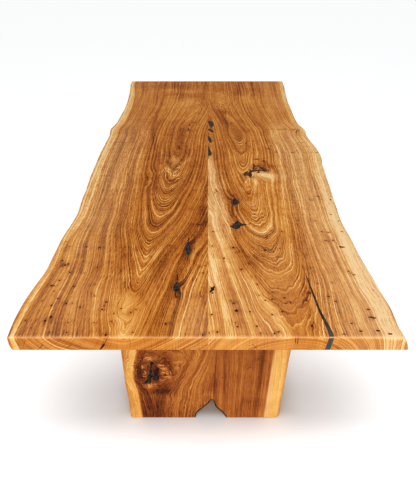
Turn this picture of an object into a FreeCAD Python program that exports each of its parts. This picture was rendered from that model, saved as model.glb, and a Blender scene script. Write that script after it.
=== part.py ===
"""Live edge dining table: two book-matched boards glued along a centre seam, on two slab legs.

Millimetres. +Z is up and the floor is Z = 0. +Y runs along the table, from the near end to the
far end, and +X is to the right of someone who stands at the near end and looks along +Y.
The shapes are drawn with the seam at X = 0, and are moved together at the end, so that the origin
lies on the floor under the middle of the top.
"""

import FreeCAD, Part
import math
import os

Vector = FreeCAD.Vector
X_AXIS, Z_AXIS = Vector(1, 0, 0), Vector(0, 0, 1)

# ---- the table ----
LENGTH = 2700.0
HEIGHT = 750.0
TOP_THICK = 45.0
UNDERSIDE = HEIGHT - TOP_THICK
NEAR_END = -LENGTH / 2
FAR_END = LENGTH / 2
END_EASE_TOP = 3.0
END_EASE_BOTTOM = 2.0

# ---- live edges of the top: (distance from the near end, width from the seam at the top face,
#      how much further out the edge stands at the underside) ----
LEFT_EDGE = [
    (0, 529, -5), (40, 532, -6), (90, 533, -7), (135, 531, -8), (200, 526, -8),
    (290, 513, -10), (400, 509, -12),
    (500, 508, -12), (600, 500, -9), (700, 493, -5), (790, 498, -4), (900, 502, -6),
    (1020, 508, -9), (1160, 514, -12), (1300, 515, -13), (1450, 515, -10), (1560, 512, -6),
    (1620, 517, -2), (1680, 520, 0), (1740, 510, 2), (1830, 504, 3), (1950, 500, 0),
    (2090, 498, -5), (2220, 503, -9), (2400, 514, -12), (2520, 525, -11), (2630, 535, -9),
    (2700, 532, -8),
]
RIGHT_EDGE = [
    (0, 515, 21), (30, 515, 22), (60, 513, 21), (105, 516, 18), (155, 515, 16), (200, 511, 14),
    (290, 506, 10), (400, 498, 8),
    (500, 497, 7), (600, 491, 7), (720, 493, 7), (850, 502, 6), (960, 508, 6),
    (1080, 516, 6), (1170, 521, 7), (1225, 524, 8), (1262, 530, 9), (1310, 534, 7),
    (1370, 532, 6), (1450, 523, 6), (1550, 513, 7), (1610, 514, 7), (1665, 516, 6),
    (1720, 503, 7), (1770, 495, 6), (1860, 493, 5), (2040, 494, 5), (2210, 497, 6),
    (2310, 502, 6), (2500, 513, 6), (2700, 519, 7),
]
EDGE_BELLY = 3.0  # swell of a live edge half way down its thickness
EDGE_ROWS = 4  # rows of points down a live edge

# ---- loose tenons across the seam ----
TENON_AT = [-1260, -1110, -720, -240, 240, 720, 1110, 1260]
TENON_WIDE = 50.0
TENON_THICK = 10.0
TENON_LONG = 80.0
TENON_GLUE_GAP = 2.0  # at each blind end of a mortise
TENON_HEIGHT = UNDERSIDE + TOP_THICK / 2

# ---- black resin in the top ----
KNOT_DEPTH = 12.0  # depth of the resin in a dead knot
# the split of the right board at the top face: (distance from the near end, X of its left side,
# X of its right side), drawn in from its closed tip at (distance, X)
SPLIT_TIP = (311, 302)
SPLIT = [
    (261, 302, 306.5), (189, 306.5, 312), (112, 309, 316), (50, 317, 327), (20, 319, 332),
    (0, 318, 332),
]
SPLIT_LEAN = -7.0  # how far it runs to the left through the thickness, at the near end
# dead knots: corner points of smooth outlines, as (X from the seam, distance from the near end);
# those at the seam belong to the right board alone, and stop at the seam
SEAM_KNOTS = [
    [(-8, 1812), (18, 1812), (31, 1770), (33, 1736), (20, 1690), (10, 1706), (3, 1762)],
    [(-8, 1674), (14, 1674), (32, 1634), (32, 1612), (14, 1622)],
    [(-6, 1564), (8, 1562), (20, 1493), (19, 1456), (8, 1462), (-3, 1512)],
    [(-6, 1420), (5, 1414), (11, 1357), (19, 1322), (15, 1282), (1, 1280), (-5, 1330)],
]
RIGHT_KNOTS = [
    [(89, 788), (98, 808), (101, 834), (112, 826), (127, 789), (112, 772), (103, 762), (94, 771)],
    [(76, 602), (95, 611), (106, 654), (117, 622), (143, 615), (137, 603), (118, 604), (113, 582),
     (97, 575), (88, 587)],
    [(176, 1036), (190, 1034), (192, 1066), (190, 1086), (204, 1100), (222, 1104), (220, 1116),
     (198, 1114), (180, 1098), (177, 1070)],
    [(228, 1152), (240, 1152), (252, 1130), (264, 1108), (258, 1092), (242, 1096), (238, 1116),
     (232, 1134)],
]
LEFT_KNOTS = [
    [(-77, 443), (-74, 482), (-65, 496), (-59, 462), (-57, 437), (-61, 402), (-69, 404)],
    [(-105, 217), (-101, 238), (-95, 258), (-87, 236), (-83, 217), (-90, 204), (-99, 199)],
]

# ---- slab legs: outer face outline, and how far the inner face stands proud of it ----
LEG_THICK = 50.0
LEG_SETBACK = 375.0  # from the end of the top to the leg's outer face
GLIDE_THICK = 3.0
LEG_FOOT = GLIDE_THICK  # a leg stands on its glides
# (height, X of the outer face's edge, X of the inner face's edge)
LEG_LEFT = [
    (3, -306, -310), (60, -307, -312), (130, -311, -317), (213, -315, -321), (290, -313, -326),
    (363, -307, -330), (450, -303, -331), (540, -305, -332), (630, -309, -333), (705, -312, -335),
]
LEG_RIGHT = [
    (3, 281, 290), (100, 284, 295), (187, 289, 301), (275, 293, 308), (363, 297, 316),
    (480, 301, 321), (590, 304, 325), (705, 308, 329),
]
LEG_CORNER_LEFT = 5.0
LEG_CORNER_RIGHT = 12.0
# the natural void at the foot, as corner points of a smooth arch: (X, height)
NOTCH = [(-50, 3), (-46, 27), (-36, 42), (-12, 66), (4, 86), (14, 110), (24, 92), (28, 66),
         (43, 49), (58, 32), (73, 3)]
NOTCH_LINING = 5.0
# the dead knot of a leg, as corner points of a smooth outline: (X, height)
LEG_KNOT = [
    (-213, 307), (-198, 300), (-205, 292), (-211, 246), (-206, 238), (-192, 226), (-196, 220),
    (-210, 228), (-214, 213), (-218, 189), (-229, 192), (-242, 189), (-246, 197), (-232, 207),
    (-226, 230), (-219, 248), (-214, 290),
]

# ---- steel under the top ----
PLATE_THICK = 8.0
PLATE_WIDE = 140.0
PLATE_HALF_LONG = 262.0
PLATE_CORNER = 12.0
PLATE_BOLT_X = [-220, -75, 75, 220]
PLATE_BOLT_Y = 50.0
MOVEMENT_GAP = 4.0  # at each end of the steel, for the boards to swell and shrink
SIDE_GAP = 0.5
CHANNEL_AT = [-475, 0, 475]
CHANNEL_NAMES = ["near_channel", "middle_channel", "far_channel"]
CHANNEL_HALF_LONG = 410.0
CHANNEL_WIDE = 40.0
CHANNEL_WALL = 4.0
CHANNEL_DEEP = 16.0
CHANNEL_BOLT_X = [-370, -230, -90, 90, 230, 370]
SLOT_LONG = 17.0  # slots let the boards move across their width
SLOT_WIDE = 9.0

# ---- M8 button head bolts, washers and threaded inserts ----
M8_SHANK_R = 3.95
M8_REACH = 14.0  # shank length inside the insert
M8_HEAD_R = 7.0
M8_HEAD_CROWN_R = 3.9  # the flat of the head around its socket
M8_HEAD_HIGH = 4.4
M8_SOCKET_R = 2.9
M8_SOCKET_DEEP = 2.6
M8_WASHER_R = 10.0
M8_WASHER_HOLE_R = 4.25
M8_WASHER_THICK = 1.6
INSERT_R = 6.0
INSERT_BORE_R = 4.0
INSERT_LONG = 16.0
INSERT_BLIND = 1.0

# ---- M10 countersunk bolts and barrel nuts ----
M10_SHANK_R = 4.95
M10_HOLE_R = 5.5
M10_HEAD_R = 9.5
M10_SINK_DEEP = 5.0
M10_SINK_GAP = 0.1
BARREL_R = 7.0
BARREL_BORE_R = 5.0
BARREL_LONG = 38.0
LEG_BOLT_X = [-210, -70, 70, 210]
LEG_BARREL_DEEP = 60.0  # from the top of the leg to the barrel nut
BOLT_OVERRUN = 12.0  # how far a bolt runs past the middle of its barrel nut
HOLE_SPARE = 2.0

# ---- glide strips under the feet, and their countersunk screws ----
GLIDE_SPANS = [(-298, -64), (88, 258)]  # X of each strip's ends
GLIDE_WIDE = 40.0
GLIDE_SCREW_INSET = 30.0  # from a strip's end to its screw
SCREW_R = 1.8
SCREW_LONG = 18.0
SCREW_HEAD_R = 3.6
SCREW_SINK_DEEP = 2.0
SCREW_SUNK = 0.6  # how far a head lies inside the strip


# ================ helpers ================

def box(x0, x1, y0, y1, z0, z1):
    return Part.makeBox(x1 - x0, y1 - y0, z1 - z0, Vector(x0, y0, z0))


def rod(radius, start, along, length):
    return Part.makeCylinder(radius, length, start, along)


def fused(shapes):
    """One shape of several that may touch, with the faces between them taken out."""
    whole = shapes[0]
    if len(shapes) > 1:
        whole = whole.multiFuse(shapes[1:])
    return whole.removeSplitter()


def group(shapes):
    """Several separate solids as one shape."""
    return Part.makeCompound(shapes)


def smooth_loop(corners):
    """A face inside a smooth closed curve, which touches the middle of each side of a polygon."""
    curve = Part.BSplineCurve()
    curve.buildFromPoles(corners, True, 2)
    return Part.Face(Part.Wire(curve.toShape()))


def polygon(points):
    return Part.Face(Part.makePolygon(points + points[:1]))


def smooth_edge(corners):
    """A smooth open edge from the first corner point to the last, drawn in by those between."""
    curve = Part.BSplineCurve()
    curve.buildFromPoles(corners, False, 2)
    return curve.toShape()


def edge_on(face, axis, value):
    """The edge of a face that lies at this value of x, y or z."""
    for edge in face.Edges:
        middle = edge.valueAt((edge.FirstParameter + edge.LastParameter) / 2)
        points = [vertex.Point for vertex in edge.Vertexes] + [middle]
        if all(abs(getattr(p, axis) - value) < 1e-4 for p in points):
            return edge
    raise ValueError(f"no edge at {axis} = {value}")


def slab(sides, walls):
    """A solid between two side faces, closed by flat walls, each given as (axis, value)."""
    faces = list(sides)
    for axis, value in walls:
        rims = [edge_on(side, axis, value) for side in sides]
        ends = [sorted((v.Point for v in rim.Vertexes), key=lambda p: (round(p.z), round(p.y)))
                for rim in rims]
        links = [Part.LineSegment(*pair).toShape() for pair in zip(*ends)]
        faces.append(Part.Face(Part.Wire(Part.__sortEdges__(rims + links))))
    shell = Part.makeShell(faces)
    shell.sewShape()
    return Part.Solid(shell).removeSplitter()  # which also turns its faces outwards


def slot_hole(x, y, z0, z1, long, wide):
    """A prism for a slot that runs along X."""
    half = (long - wide) / 2
    parts = [box(x - half, x + half, y - wide / 2, y + wide / 2, z0, z1)]
    for end in (-half, half):
        parts.append(rod(wide / 2, Vector(x + end, y, z0), Z_AXIS, z1 - z0))
    return fused(parts)


# ================ the top ================

def live_edge(stations, side):
    """A live edge of the top, on the left if side is -1 and on the right if it is 1.
    Down the edge the width follows a straight lean with a half sine swell on it."""
    grid = []
    for along, width, lean in stations:
        row = []
        for i in range(EDGE_ROWS):
            down = i / (EDGE_ROWS - 1)
            out = width + lean * down + EDGE_BELLY * math.sin(math.pi * down)
            row.append(Vector(side * out, NEAR_END + along, HEIGHT - TOP_THICK * down))
        grid.append(row)
    surface = Part.BSplineSurface()
    surface.interpolate(grid)
    return surface.toShape()


def board(stations, side):
    """One board of the top: a live edge outside and a straight seam at X = 0."""
    seam = polygon([Vector(0, NEAR_END, HEIGHT), Vector(0, FAR_END, HEIGHT),
                    Vector(0, FAR_END, UNDERSIDE), Vector(0, NEAR_END, UNDERSIDE)])
    walls = [("z", HEIGHT), ("z", UNDERSIDE), ("y", NEAR_END), ("y", FAR_END)]
    return slab([live_edge(stations, side), seam], walls)


def end_eases():
    """Small bevels along the arrises of both ends of the top."""
    wedges = []
    reach = LENGTH / 4
    for y, inward in ((NEAR_END, 1), (FAR_END, -1)):
        for z, down, ease in ((HEIGHT, -1, END_EASE_TOP), (UNDERSIDE, 1, END_EASE_BOTTOM)):
            face = polygon([Vector(-reach, y, z), Vector(-reach, y + inward * ease, z),
                            Vector(-reach, y, z + down * ease)])
            wedges.append(face.extrude(Vector(2 * reach, 0, 0)))
    return wedges


def stadium_tenon(y, half_long):
    """A loose tenon with rounded sides, lying across the seam."""
    half_flat = (TENON_WIDE - TENON_THICK) / 2
    parts = [box(-half_long, half_long, y - half_flat, y + half_flat,
                 TENON_HEIGHT - TENON_THICK / 2, TENON_HEIGHT + TENON_THICK / 2)]
    for side in (-half_flat, half_flat):
        start = Vector(-half_long, y + side, TENON_HEIGHT)
        parts.append(rod(TENON_THICK / 2, start, X_AXIS, 2 * half_long))
    return fused(parts)


def knot_fill(corners):
    """Resin poured into a dead knot, flush with the top face."""
    points = [Vector(x, NEAR_END + along, HEIGHT) for x, along in corners]
    return smooth_loop(points).extrude(Vector(0, 0, -KNOT_DEPTH))


def seam_knot_fill(corners):
    """Resin in a knot that the seam was sawn through."""
    right_of_seam = box(0, LENGTH, NEAR_END, FAR_END, UNDERSIDE, HEIGHT)
    return knot_fill(corners).common(right_of_seam)


def split_outline(z):
    """The outline of the split at height z. It leans to the left as it goes down."""
    down = (HEIGHT - z) / TOP_THICK

    def at(along, x):
        lean = SPLIT_LEAN * down * (1 - along / SPLIT_TIP[0])
        return Vector(x + lean, NEAR_END + along, z)

    tip = at(*SPLIT_TIP)
    left = [tip] + [at(along, x) for along, x, _ in SPLIT]
    right = [tip] + [at(along, x) for along, _, x in SPLIT]
    mouth = Part.LineSegment(left[-1], right[-1]).toShape()
    return Part.Wire(Part.__sortEdges__([smooth_edge(left), mouth, smooth_edge(right)]))


def split_fill():
    """Resin in the split, through the whole thickness and out at the near end."""
    return Part.makeLoft([split_outline(HEIGHT), split_outline(UNDERSIDE)], True, True)


# ================ steel and fasteners under the top ================

def channel(y, end_gap=0.0, side_gap=0.0):
    """A steel channel with its web flush with the underside and its flanges up in the wood.
    With gaps, it is the groove that the channel lies in."""
    half = CHANNEL_HALF_LONG + end_gap
    outside = CHANNEL_WIDE / 2 + side_gap
    inside = CHANNEL_WIDE / 2 - CHANNEL_WALL - side_gap
    web_top = UNDERSIDE + CHANNEL_WALL + side_gap
    flange_top = UNDERSIDE + CHANNEL_DEEP + side_gap
    return fused([
        box(-half, half, y - outside, y + outside, UNDERSIDE, web_top),
        box(-half, half, y - outside, y - inside, UNDERSIDE, flange_top),
        box(-half, half, y + inside, y + outside, UNDERSIDE, flange_top),
    ])


def channel_with_slots(y):
    web_top = UNDERSIDE + CHANNEL_WALL
    slots = [slot_hole(x, y, UNDERSIDE, web_top, SLOT_LONG, SLOT_WIDE) for x in CHANNEL_BOLT_X]
    return channel(y).cut(slots)


def rounded_plate(y, half_long, wide, corner, z0, z1):
    plate = box(-half_long, half_long, y - wide / 2, y + wide / 2, z0, z1)
    upright = [e for e in plate.Edges if abs(e.Vertexes[0].Z - e.Vertexes[-1].Z) > 1e-6]
    return plate.makeFillet(corner, upright)


def leg_plate(y):
    """The steel plate on top of a leg, let into the underside of the top."""
    top = UNDERSIDE + PLATE_THICK
    plate = rounded_plate(y, PLATE_HALF_LONG, PLATE_WIDE, PLATE_CORNER, UNDERSIDE, top)
    cuts = []
    for x in PLATE_BOLT_X:
        for side in (-PLATE_BOLT_Y, PLATE_BOLT_Y):
            cuts.append(slot_hole(x, y + side, UNDERSIDE, top, SLOT_LONG, SLOT_WIDE))
    for x in LEG_BOLT_X:
        cuts.append(rod(M10_HOLE_R, Vector(x, y, UNDERSIDE), Z_AXIS, PLATE_THICK))
        cuts.append(Part.makeCone(M10_SHANK_R + M10_SINK_GAP, M10_HEAD_R + M10_SINK_GAP,
                                  M10_SINK_DEEP, Vector(x, y, top - M10_SINK_DEEP), Z_AXIS))
    return plate.cut(cuts)


def plate_recess(y):
    return rounded_plate(y, PLATE_HALF_LONG + MOVEMENT_GAP, PLATE_WIDE + 2 * SIDE_GAP,
                         PLATE_CORNER, UNDERSIDE, UNDERSIDE + PLATE_THICK)


def insert_at(x, y, z):
    """A threaded insert that starts at height z, and the hole it is screwed into."""
    mouth = Vector(x, y, z)
    hole = rod(INSERT_R, mouth, Z_AXIS, INSERT_LONG)
    return hole.cut(rod(INSERT_BORE_R, mouth, Z_AXIS, INSERT_LONG - INSERT_BLIND)), hole


def button_bolt(x, y, steel_thick):
    """A button head bolt, from its washer under the steel up into an insert."""
    seat = Vector(x, y, UNDERSIDE - M8_WASHER_THICK)
    crown = seat - Z_AXIS * M8_HEAD_HIGH
    shank = rod(M8_SHANK_R, seat, Z_AXIS, M8_WASHER_THICK + steel_thick + M8_REACH)
    head = Part.makeCone(M8_HEAD_CROWN_R, M8_HEAD_R, M8_HEAD_HIGH, crown, Z_AXIS)
    return fused([shank, head]).cut(rod(M8_SOCKET_R, crown, Z_AXIS, M8_SOCKET_DEEP))


def washer_at(x, y):
    seat = Vector(x, y, UNDERSIDE - M8_WASHER_THICK)
    disc = rod(M8_WASHER_R, seat, Z_AXIS, M8_WASHER_THICK)
    return disc.cut(rod(M8_WASHER_HOLE_R, seat, Z_AXIS, M8_WASHER_THICK))


# ================ the legs ================

def leg_face_y(end):
    """Y of the outer and the inner face of a leg. end is -1 at the near end, 1 at the far end."""
    outer = end * (LENGTH / 2 - LEG_SETBACK)
    return outer, outer - end * LEG_THICK


def leg_live_edge(stations, outer, inner):
    """A live edge of a leg: a smooth surface through its outer, middle and inner outlines."""
    grid = []
    for z, x_outer, x_inner in stations:
        swell = math.copysign(EDGE_BELLY, x_outer)
        middle = Vector((x_outer + x_inner) / 2 + swell, (outer + inner) / 2, z)
        grid.append([Vector(x_outer, outer, z), middle, Vector(x_inner, inner, z)])
    surface = Part.BSplineSurface()
    surface.interpolate(grid)
    return surface.toShape()


def leg_blank(end):
    """A leg's slab with its two live edges and its rounded toes."""
    outer, inner = leg_face_y(end)
    sides = [leg_live_edge(LEG_LEFT, outer, inner), leg_live_edge(LEG_RIGHT, outer, inner)]
    blank = slab(sides, [("z", UNDERSIDE), ("z", LEG_FOOT), ("y", outer), ("y", inner)])
    for toe_x, radius in ((LEG_LEFT[0][1], LEG_CORNER_LEFT), (LEG_RIGHT[0][1], LEG_CORNER_RIGHT)):
        toe = Vector(toe_x, (outer + inner) / 2, LEG_FOOT)
        edge = min(blank.Edges, key=lambda e: (e.CenterOfMass - toe).Length)
        blank = blank.makeFillet(radius, [edge])
    return blank


def notch_prism(end, offset):
    """The void at the foot of a leg, grown by an offset into the wood around it."""
    outer, inner = leg_face_y(end)
    corners = []
    for i, (x, z) in enumerate(NOTCH):
        before = NOTCH[max(i - 1, 0)]
        after = NOTCH[min(i + 1, len(NOTCH) - 1)]
        along = Vector(after[0] - before[0], 0, after[1] - before[1]).normalize()
        corners.append(Vector(x - along.z * offset, outer, z + along.x * offset))
    corners[0].z = corners[-1].z = LEG_FOOT
    foot = Part.LineSegment(corners[-1], corners[0]).toShape()
    face = Part.Face(Part.Wire([smooth_edge(corners), foot]))
    return face.extrude(Vector(0, inner - outer, 0))


def notch_lining(end):
    """The coat of black resin that seals the void."""
    return notch_prism(end, NOTCH_LINING).cut(notch_prism(end, 0.0))


def leg_knot_fill(end):
    outer, _ = leg_face_y(end)
    face = smooth_loop([Vector(x, outer, z) for x, z in LEG_KNOT])
    return face.extrude(Vector(0, -end * KNOT_DEPTH, 0))


def leg_fixings(end):
    """Countersunk bolts from the plate down into barrel nuts in the leg, and their holes."""
    outer, inner = leg_face_y(end)
    middle = (outer + inner) / 2
    top = UNDERSIDE + PLATE_THICK
    barrel_z = UNDERSIDE - LEG_BARREL_DEEP
    tip = barrel_z - BOLT_OVERRUN
    bolts, nuts, holes = [], [], []
    for x in LEG_BOLT_X:
        shank = rod(M10_SHANK_R, Vector(x, middle, tip), Z_AXIS, top - tip)
        head = Part.makeCone(M10_SHANK_R, M10_HEAD_R, M10_SINK_DEEP,
                             Vector(x, middle, top - M10_SINK_DEEP), Z_AXIS)
        bolts.append(fused([shank, head]))
        bed = rod(BARREL_R, Vector(x, inner, barrel_z), Vector(0, end, 0), BARREL_LONG)
        thread = rod(BARREL_BORE_R, Vector(x, middle, barrel_z - BARREL_R), Z_AXIS, 2 * BARREL_R)
        nuts.append(bed.cut(thread))
        well = rod(M10_HOLE_R, Vector(x, middle, tip - HOLE_SPARE), Z_AXIS,
                   UNDERSIDE - tip + HOLE_SPARE)
        holes += [bed, well]
    return bolts, nuts, holes


# ================ glides ================

def glide_screw(x, y):
    """A countersunk screw up through a glide strip into the foot of a leg."""
    head_face = Vector(x, y, SCREW_SUNK)
    head = Part.makeCone(SCREW_HEAD_R, SCREW_R, SCREW_SINK_DEEP, head_face, Z_AXIS)
    return fused([head, rod(SCREW_R, head_face, Z_AXIS, SCREW_LONG)])


def glides(end):
    """The glide strips under a leg, one on each side of the notch, and their screws."""
    middle = sum(leg_face_y(end)) / 2
    strips, screws = [], []
    for x0, x1 in GLIDE_SPANS:
        strip = box(x0, x1, middle - GLIDE_WIDE / 2, middle + GLIDE_WIDE / 2, 0, GLIDE_THICK)
        for x in (x0 + GLIDE_SCREW_INSET, x1 - GLIDE_SCREW_INSET):
            screw = glide_screw(x, middle)
            way_in = rod(SCREW_HEAD_R, Vector(x, middle, 0), Z_AXIS, SCREW_SUNK)
            strip = strip.cut([screw, way_in])
            screws.append(screw)
        strips.append(strip)
    return strips, screws


# ================ the whole table ================

def build():
    """Every sub-part by its name, with the seam at X = 0."""
    parts = {}

    seam_resin = [seam_knot_fill(k) for k in SEAM_KNOTS]
    right_resin = [knot_fill(k) for k in RIGHT_KNOTS]
    left_resin = [knot_fill(k) for k in LEFT_KNOTS]
    split = split_fill()

    mortises = [stadium_tenon(y, TENON_LONG / 2 + TENON_GLUE_GAP) for y in TENON_AT]
    tenons = [stadium_tenon(y, TENON_LONG / 2) for y in TENON_AT]

    steel_beds = [channel(y, MOVEMENT_GAP, SIDE_GAP) for y in CHANNEL_AT]
    channel_inserts, channel_bolts, channel_washers, insert_holes = [], [], [], []
    for name, y in zip(CHANNEL_NAMES, CHANNEL_AT):
        parts[name] = channel_with_slots(y)
        for x in CHANNEL_BOLT_X:
            insert, hole = insert_at(x, y, UNDERSIDE + CHANNEL_WALL + SIDE_GAP)
            channel_inserts.append(insert)
            insert_holes.append(hole)
            channel_bolts.append(button_bolt(x, y, CHANNEL_WALL))
            channel_washers.append(washer_at(x, y))

    plate_inserts, plate_bolts, plate_washers = [], [], []
    leg_bolts, leg_nuts, strips, strip_screws = [], [], [], []
    for side, end in (("near", -1), ("far", 1)):
        outer, inner = leg_face_y(end)
        middle = (outer + inner) / 2
        parts[side + "_leg_plate"] = leg_plate(middle)
        steel_beds.append(plate_recess(middle))
        for x in PLATE_BOLT_X:
            for dy in (-PLATE_BOLT_Y, PLATE_BOLT_Y):
                insert, hole = insert_at(x, middle + dy, UNDERSIDE + PLATE_THICK)
                plate_inserts.append(insert)
                insert_holes.append(hole)
                plate_bolts.append(button_bolt(x, middle + dy, PLATE_THICK))
                plate_washers.append(washer_at(x, middle + dy))

        bolts, nuts, leg_holes = leg_fixings(end)
        leg_bolts += bolts
        leg_nuts += nuts
        end_strips, end_screws = glides(end)
        strips += end_strips
        strip_screws += end_screws

        knot = leg_knot_fill(end)
        cuts = [notch_prism(end, NOTCH_LINING), knot] + leg_holes + end_screws
        parts[side + "_leg"] = leg_blank(end).cut(cuts)
        parts[side + "_leg_resin"] = knot
        parts[side + "_notch_lining"] = notch_lining(end)

    shared_cuts = mortises + steel_beds + insert_holes + end_eases()
    parts["left_board"] = board(LEFT_EDGE, -1).cut(shared_cuts + left_resin)
    parts["right_board"] = board(RIGHT_EDGE, 1).cut(
        shared_cuts + right_resin + seam_resin + [split]
    )
    parts["seam_tenons"] = group(tenons)
    parts["split_resin"] = split.cut(end_eases())
    parts["seam_knot_resin"] = group(seam_resin)
    parts["right_knot_resin"] = group(right_resin)
    parts["left_knot_resin"] = group(left_resin)

    parts["channel_inserts"] = group(channel_inserts)
    parts["channel_bolts"] = group(channel_bolts)
    parts["channel_washers"] = group(channel_washers)
    parts["plate_inserts"] = group(plate_inserts)
    parts["plate_bolts"] = group(plate_bolts)
    parts["plate_washers"] = group(plate_washers)
    parts["leg_bolts"] = group(leg_bolts)
    parts["leg_barrel_nuts"] = group(leg_nuts)

    parts["glide_strips"] = group(strips)
    parts["glide_screws"] = group(strip_screws)
    return parts


def to_centre(parts):
    """The move that puts the middle of the top over the origin."""
    left = parts["left_board"].optimalBoundingBox(False, False).XMin
    right = parts["right_board"].optimalBoundingBox(False, False).XMax
    return Vector(-(left + right) / 2, 0, 0)


def main():
    os.makedirs("parts", exist_ok=True)
    parts = build()
    move = to_centre(parts)
    print(f"seam at x = {move.x:.2f}")
    for name in sorted(parts):
        shape = parts[name]
        shape.translate(move)
        shape.exportStep(f"parts/{name}.step")
        size = shape.BoundBox
        print(f"{name:24s} solids {len(shape.Solids):3d}  valid {shape.isValid()}  "
              f"volume {shape.Volume / 1000:9.1f} cm3  "
              f"size {size.XLength:7.1f} {size.YLength:7.1f} {size.ZLength:7.1f}")


main()
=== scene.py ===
# %% [markdown]
# # A live edge dining table
# Two thick boards of elm, still with the outline of the tree along their outer sides, meet on a
# straight seam and stand on two slab legs. The steel, the resin in the knots and the fixings come
# from the construction model and keep their shape. The wood is made again here, because its looks
# depend on how the growth rings run, and that has to be worked out at many points of each board.

# %% Load the construction model
import math

import bpy
import numpy as np
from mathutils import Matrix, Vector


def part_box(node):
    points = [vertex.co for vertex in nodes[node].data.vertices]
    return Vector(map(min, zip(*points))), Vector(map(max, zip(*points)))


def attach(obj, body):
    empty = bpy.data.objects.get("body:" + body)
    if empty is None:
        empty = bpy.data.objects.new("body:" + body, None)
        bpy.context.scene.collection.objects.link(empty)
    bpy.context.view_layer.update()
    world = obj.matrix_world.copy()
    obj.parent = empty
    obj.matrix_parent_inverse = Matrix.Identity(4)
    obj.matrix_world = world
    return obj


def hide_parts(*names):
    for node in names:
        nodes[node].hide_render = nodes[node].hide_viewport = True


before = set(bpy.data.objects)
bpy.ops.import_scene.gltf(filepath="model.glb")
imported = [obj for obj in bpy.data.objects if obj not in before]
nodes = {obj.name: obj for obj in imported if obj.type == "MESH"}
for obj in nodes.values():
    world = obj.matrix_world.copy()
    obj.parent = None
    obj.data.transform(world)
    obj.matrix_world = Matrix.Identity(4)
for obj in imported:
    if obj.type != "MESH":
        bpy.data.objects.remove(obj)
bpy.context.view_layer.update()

MM = 0.001
# mm: the seam runs through the middle of its tenons, and the origin is in the middle of the whole width
SEAM_X = sum(corner[0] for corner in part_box("seam_tenons")) / 2 / MM
print("seam at x =", round(SEAM_X, 2), "mm")

# %% [markdown]
# ## The camera
# The table is seen from a metre beyond its near end, from the eye height of someone who stands, and
# exactly in line with the seam. The long side of the picture is upright, so the sensor width is the
# height of the picture. A focal length in pixels becomes millimetres when it is set against that side.

# %% Camera
PICTURE_HIGH = 500  # pixels
FOCAL_PIXELS = 520
SENSOR = 36.0
CAMERA_AT = (SEAM_X * MM, -2.3899, 1.661)
LOOKS_DOWN = 31.68  # degrees

camera = bpy.data.objects.new("camera", bpy.data.cameras.new("camera"))
camera.data.sensor_width = SENSOR
camera.data.lens = SENSOR * FOCAL_PIXELS / PICTURE_HIGH
camera.location = CAMERA_AT
camera.rotation_euler = (math.radians(90 - LOOKS_DOWN), 0, 0)
bpy.context.scene.collection.objects.link(camera)
bpy.context.scene.camera = camera
bpy.context.scene.view_settings.view_transform = "Standard"
print("lens", round(camera.data.lens, 2), "mm")

# %% [markdown]
# ## Colour and nodes
# A colour is written as the hex value that a screen shows. Blender computes with light, so each value
# goes through one function that undoes the screen's curve. One helper adds a node of any kind: it sets
# the node's own properties and its sockets, and a socket that is given another node's output is linked.

# %% Colour and one helper for nodes
def linear(code):
    """sRGB hex to linear RGBA: c / 12.92 up to 0.04045, and ((c + 0.055) / 1.055) ^ 2.4 above."""
    c = np.array([int(code[i:i + 2], 16) for i in (1, 3, 5)]) / 255
    return (*np.where(c <= 0.04045, c / 12.92, ((c + 0.055) / 1.055) ** 2.4), 1.0)


def add(tree, kind, sockets=None, stops=None, **settings):
    """One node. sockets maps a socket's name or number to a value or to another node's output."""
    node = tree.nodes.new("ShaderNode" + kind)
    for key, value in settings.items():
        setattr(node, key, value)
    for key, value in (sockets or {}).items():
        if isinstance(value, bpy.types.NodeSocket):
            tree.links.new(value, node.inputs[key])
        else:
            node.inputs[key].default_value = value
    for i, (place, code) in enumerate(stops or []):
        stop = node.color_ramp.elements[i] if i < 2 else node.color_ramp.elements.new(place)
        stop.position = place
        stop.color = linear(code)
    return node


def new_material(name):
    """An empty material, as its node tree and its output's surface socket."""
    made = bpy.data.materials.new(name)
    made.use_nodes = True
    made.node_tree.nodes.clear()
    surface = made.node_tree.nodes.new("ShaderNodeOutputMaterial").inputs["Surface"]
    return made, made.node_tree, surface


# %% [markdown]
# ## The floor and the light
# The table stands in a white room, under an even white sky, with one large soft lamp high in front. The
# lamp and the sky together give an upward face about as much light as a white sky of strength 1, so a
# colour renders about as it is written. For the viewer, a little light of its own lifts the floor to
# white out in the open. Near the table that light fades away, so that the table's soft shade stays.
# Just inside the legs the floor's own colour is darkened to brown: a painted shade.

# %% Floor, sky and lamp
FLOOR_HALF = 40.0
FLOOR_BELOW = 0.0002  # so that no face of the feet lies in the plane of the floor
SKY = 0.6
GLOW = 0.45  # the floor's own light out in the open
# m from the middle of the table: where the shade round a foot starts, and how far it reaches, sideways,
# outwards beyond the leg and inwards under the table
SHADE_SIDE, SHADE_OUT, SHADE_IN = (0.33, 0.58), (0.93, 0.21), (0.90, 0.4)
FLOOR_COLOUR, SHADED_COLOUR = "#ecedee", "#b6a595"
# m from the middle of the table, from none of the painted shade colour to all of it: inwards through the
# leg's thickness, outwards from the middle, and inwards from the sides
PAINTED_LEG, PAINTED_MIDDLE, PAINTED_SIDE = (0.98, 0.93), (0.5, 0.88), (0.4, 0.2)
# name, watts, size in m, place, degrees tipped up from pointing straight down
LAMPS = [("wide lamp overhead", 6.0, 3.2, (0.0, 0.4, 3.3), 0),
         ("high lamp in front", 128.0, 3.0, (0.0, -4.6, 3.3), 53)]


def seen_rays(tree):
    """1 for rays that come straight, mirrored or refracted to the viewer, 0 for those that only light."""
    path = add(tree, "LightPath").outputs
    seen = add(tree, "Math", {0: path["Is Camera Ray"], 1: path["Is Glossy Ray"]},
               operation="MAXIMUM").outputs[0]
    return add(tree, "Math", {0: seen, 1: path["Is Transmission Ray"]}, operation="MAXIMUM").outputs[0]


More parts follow.
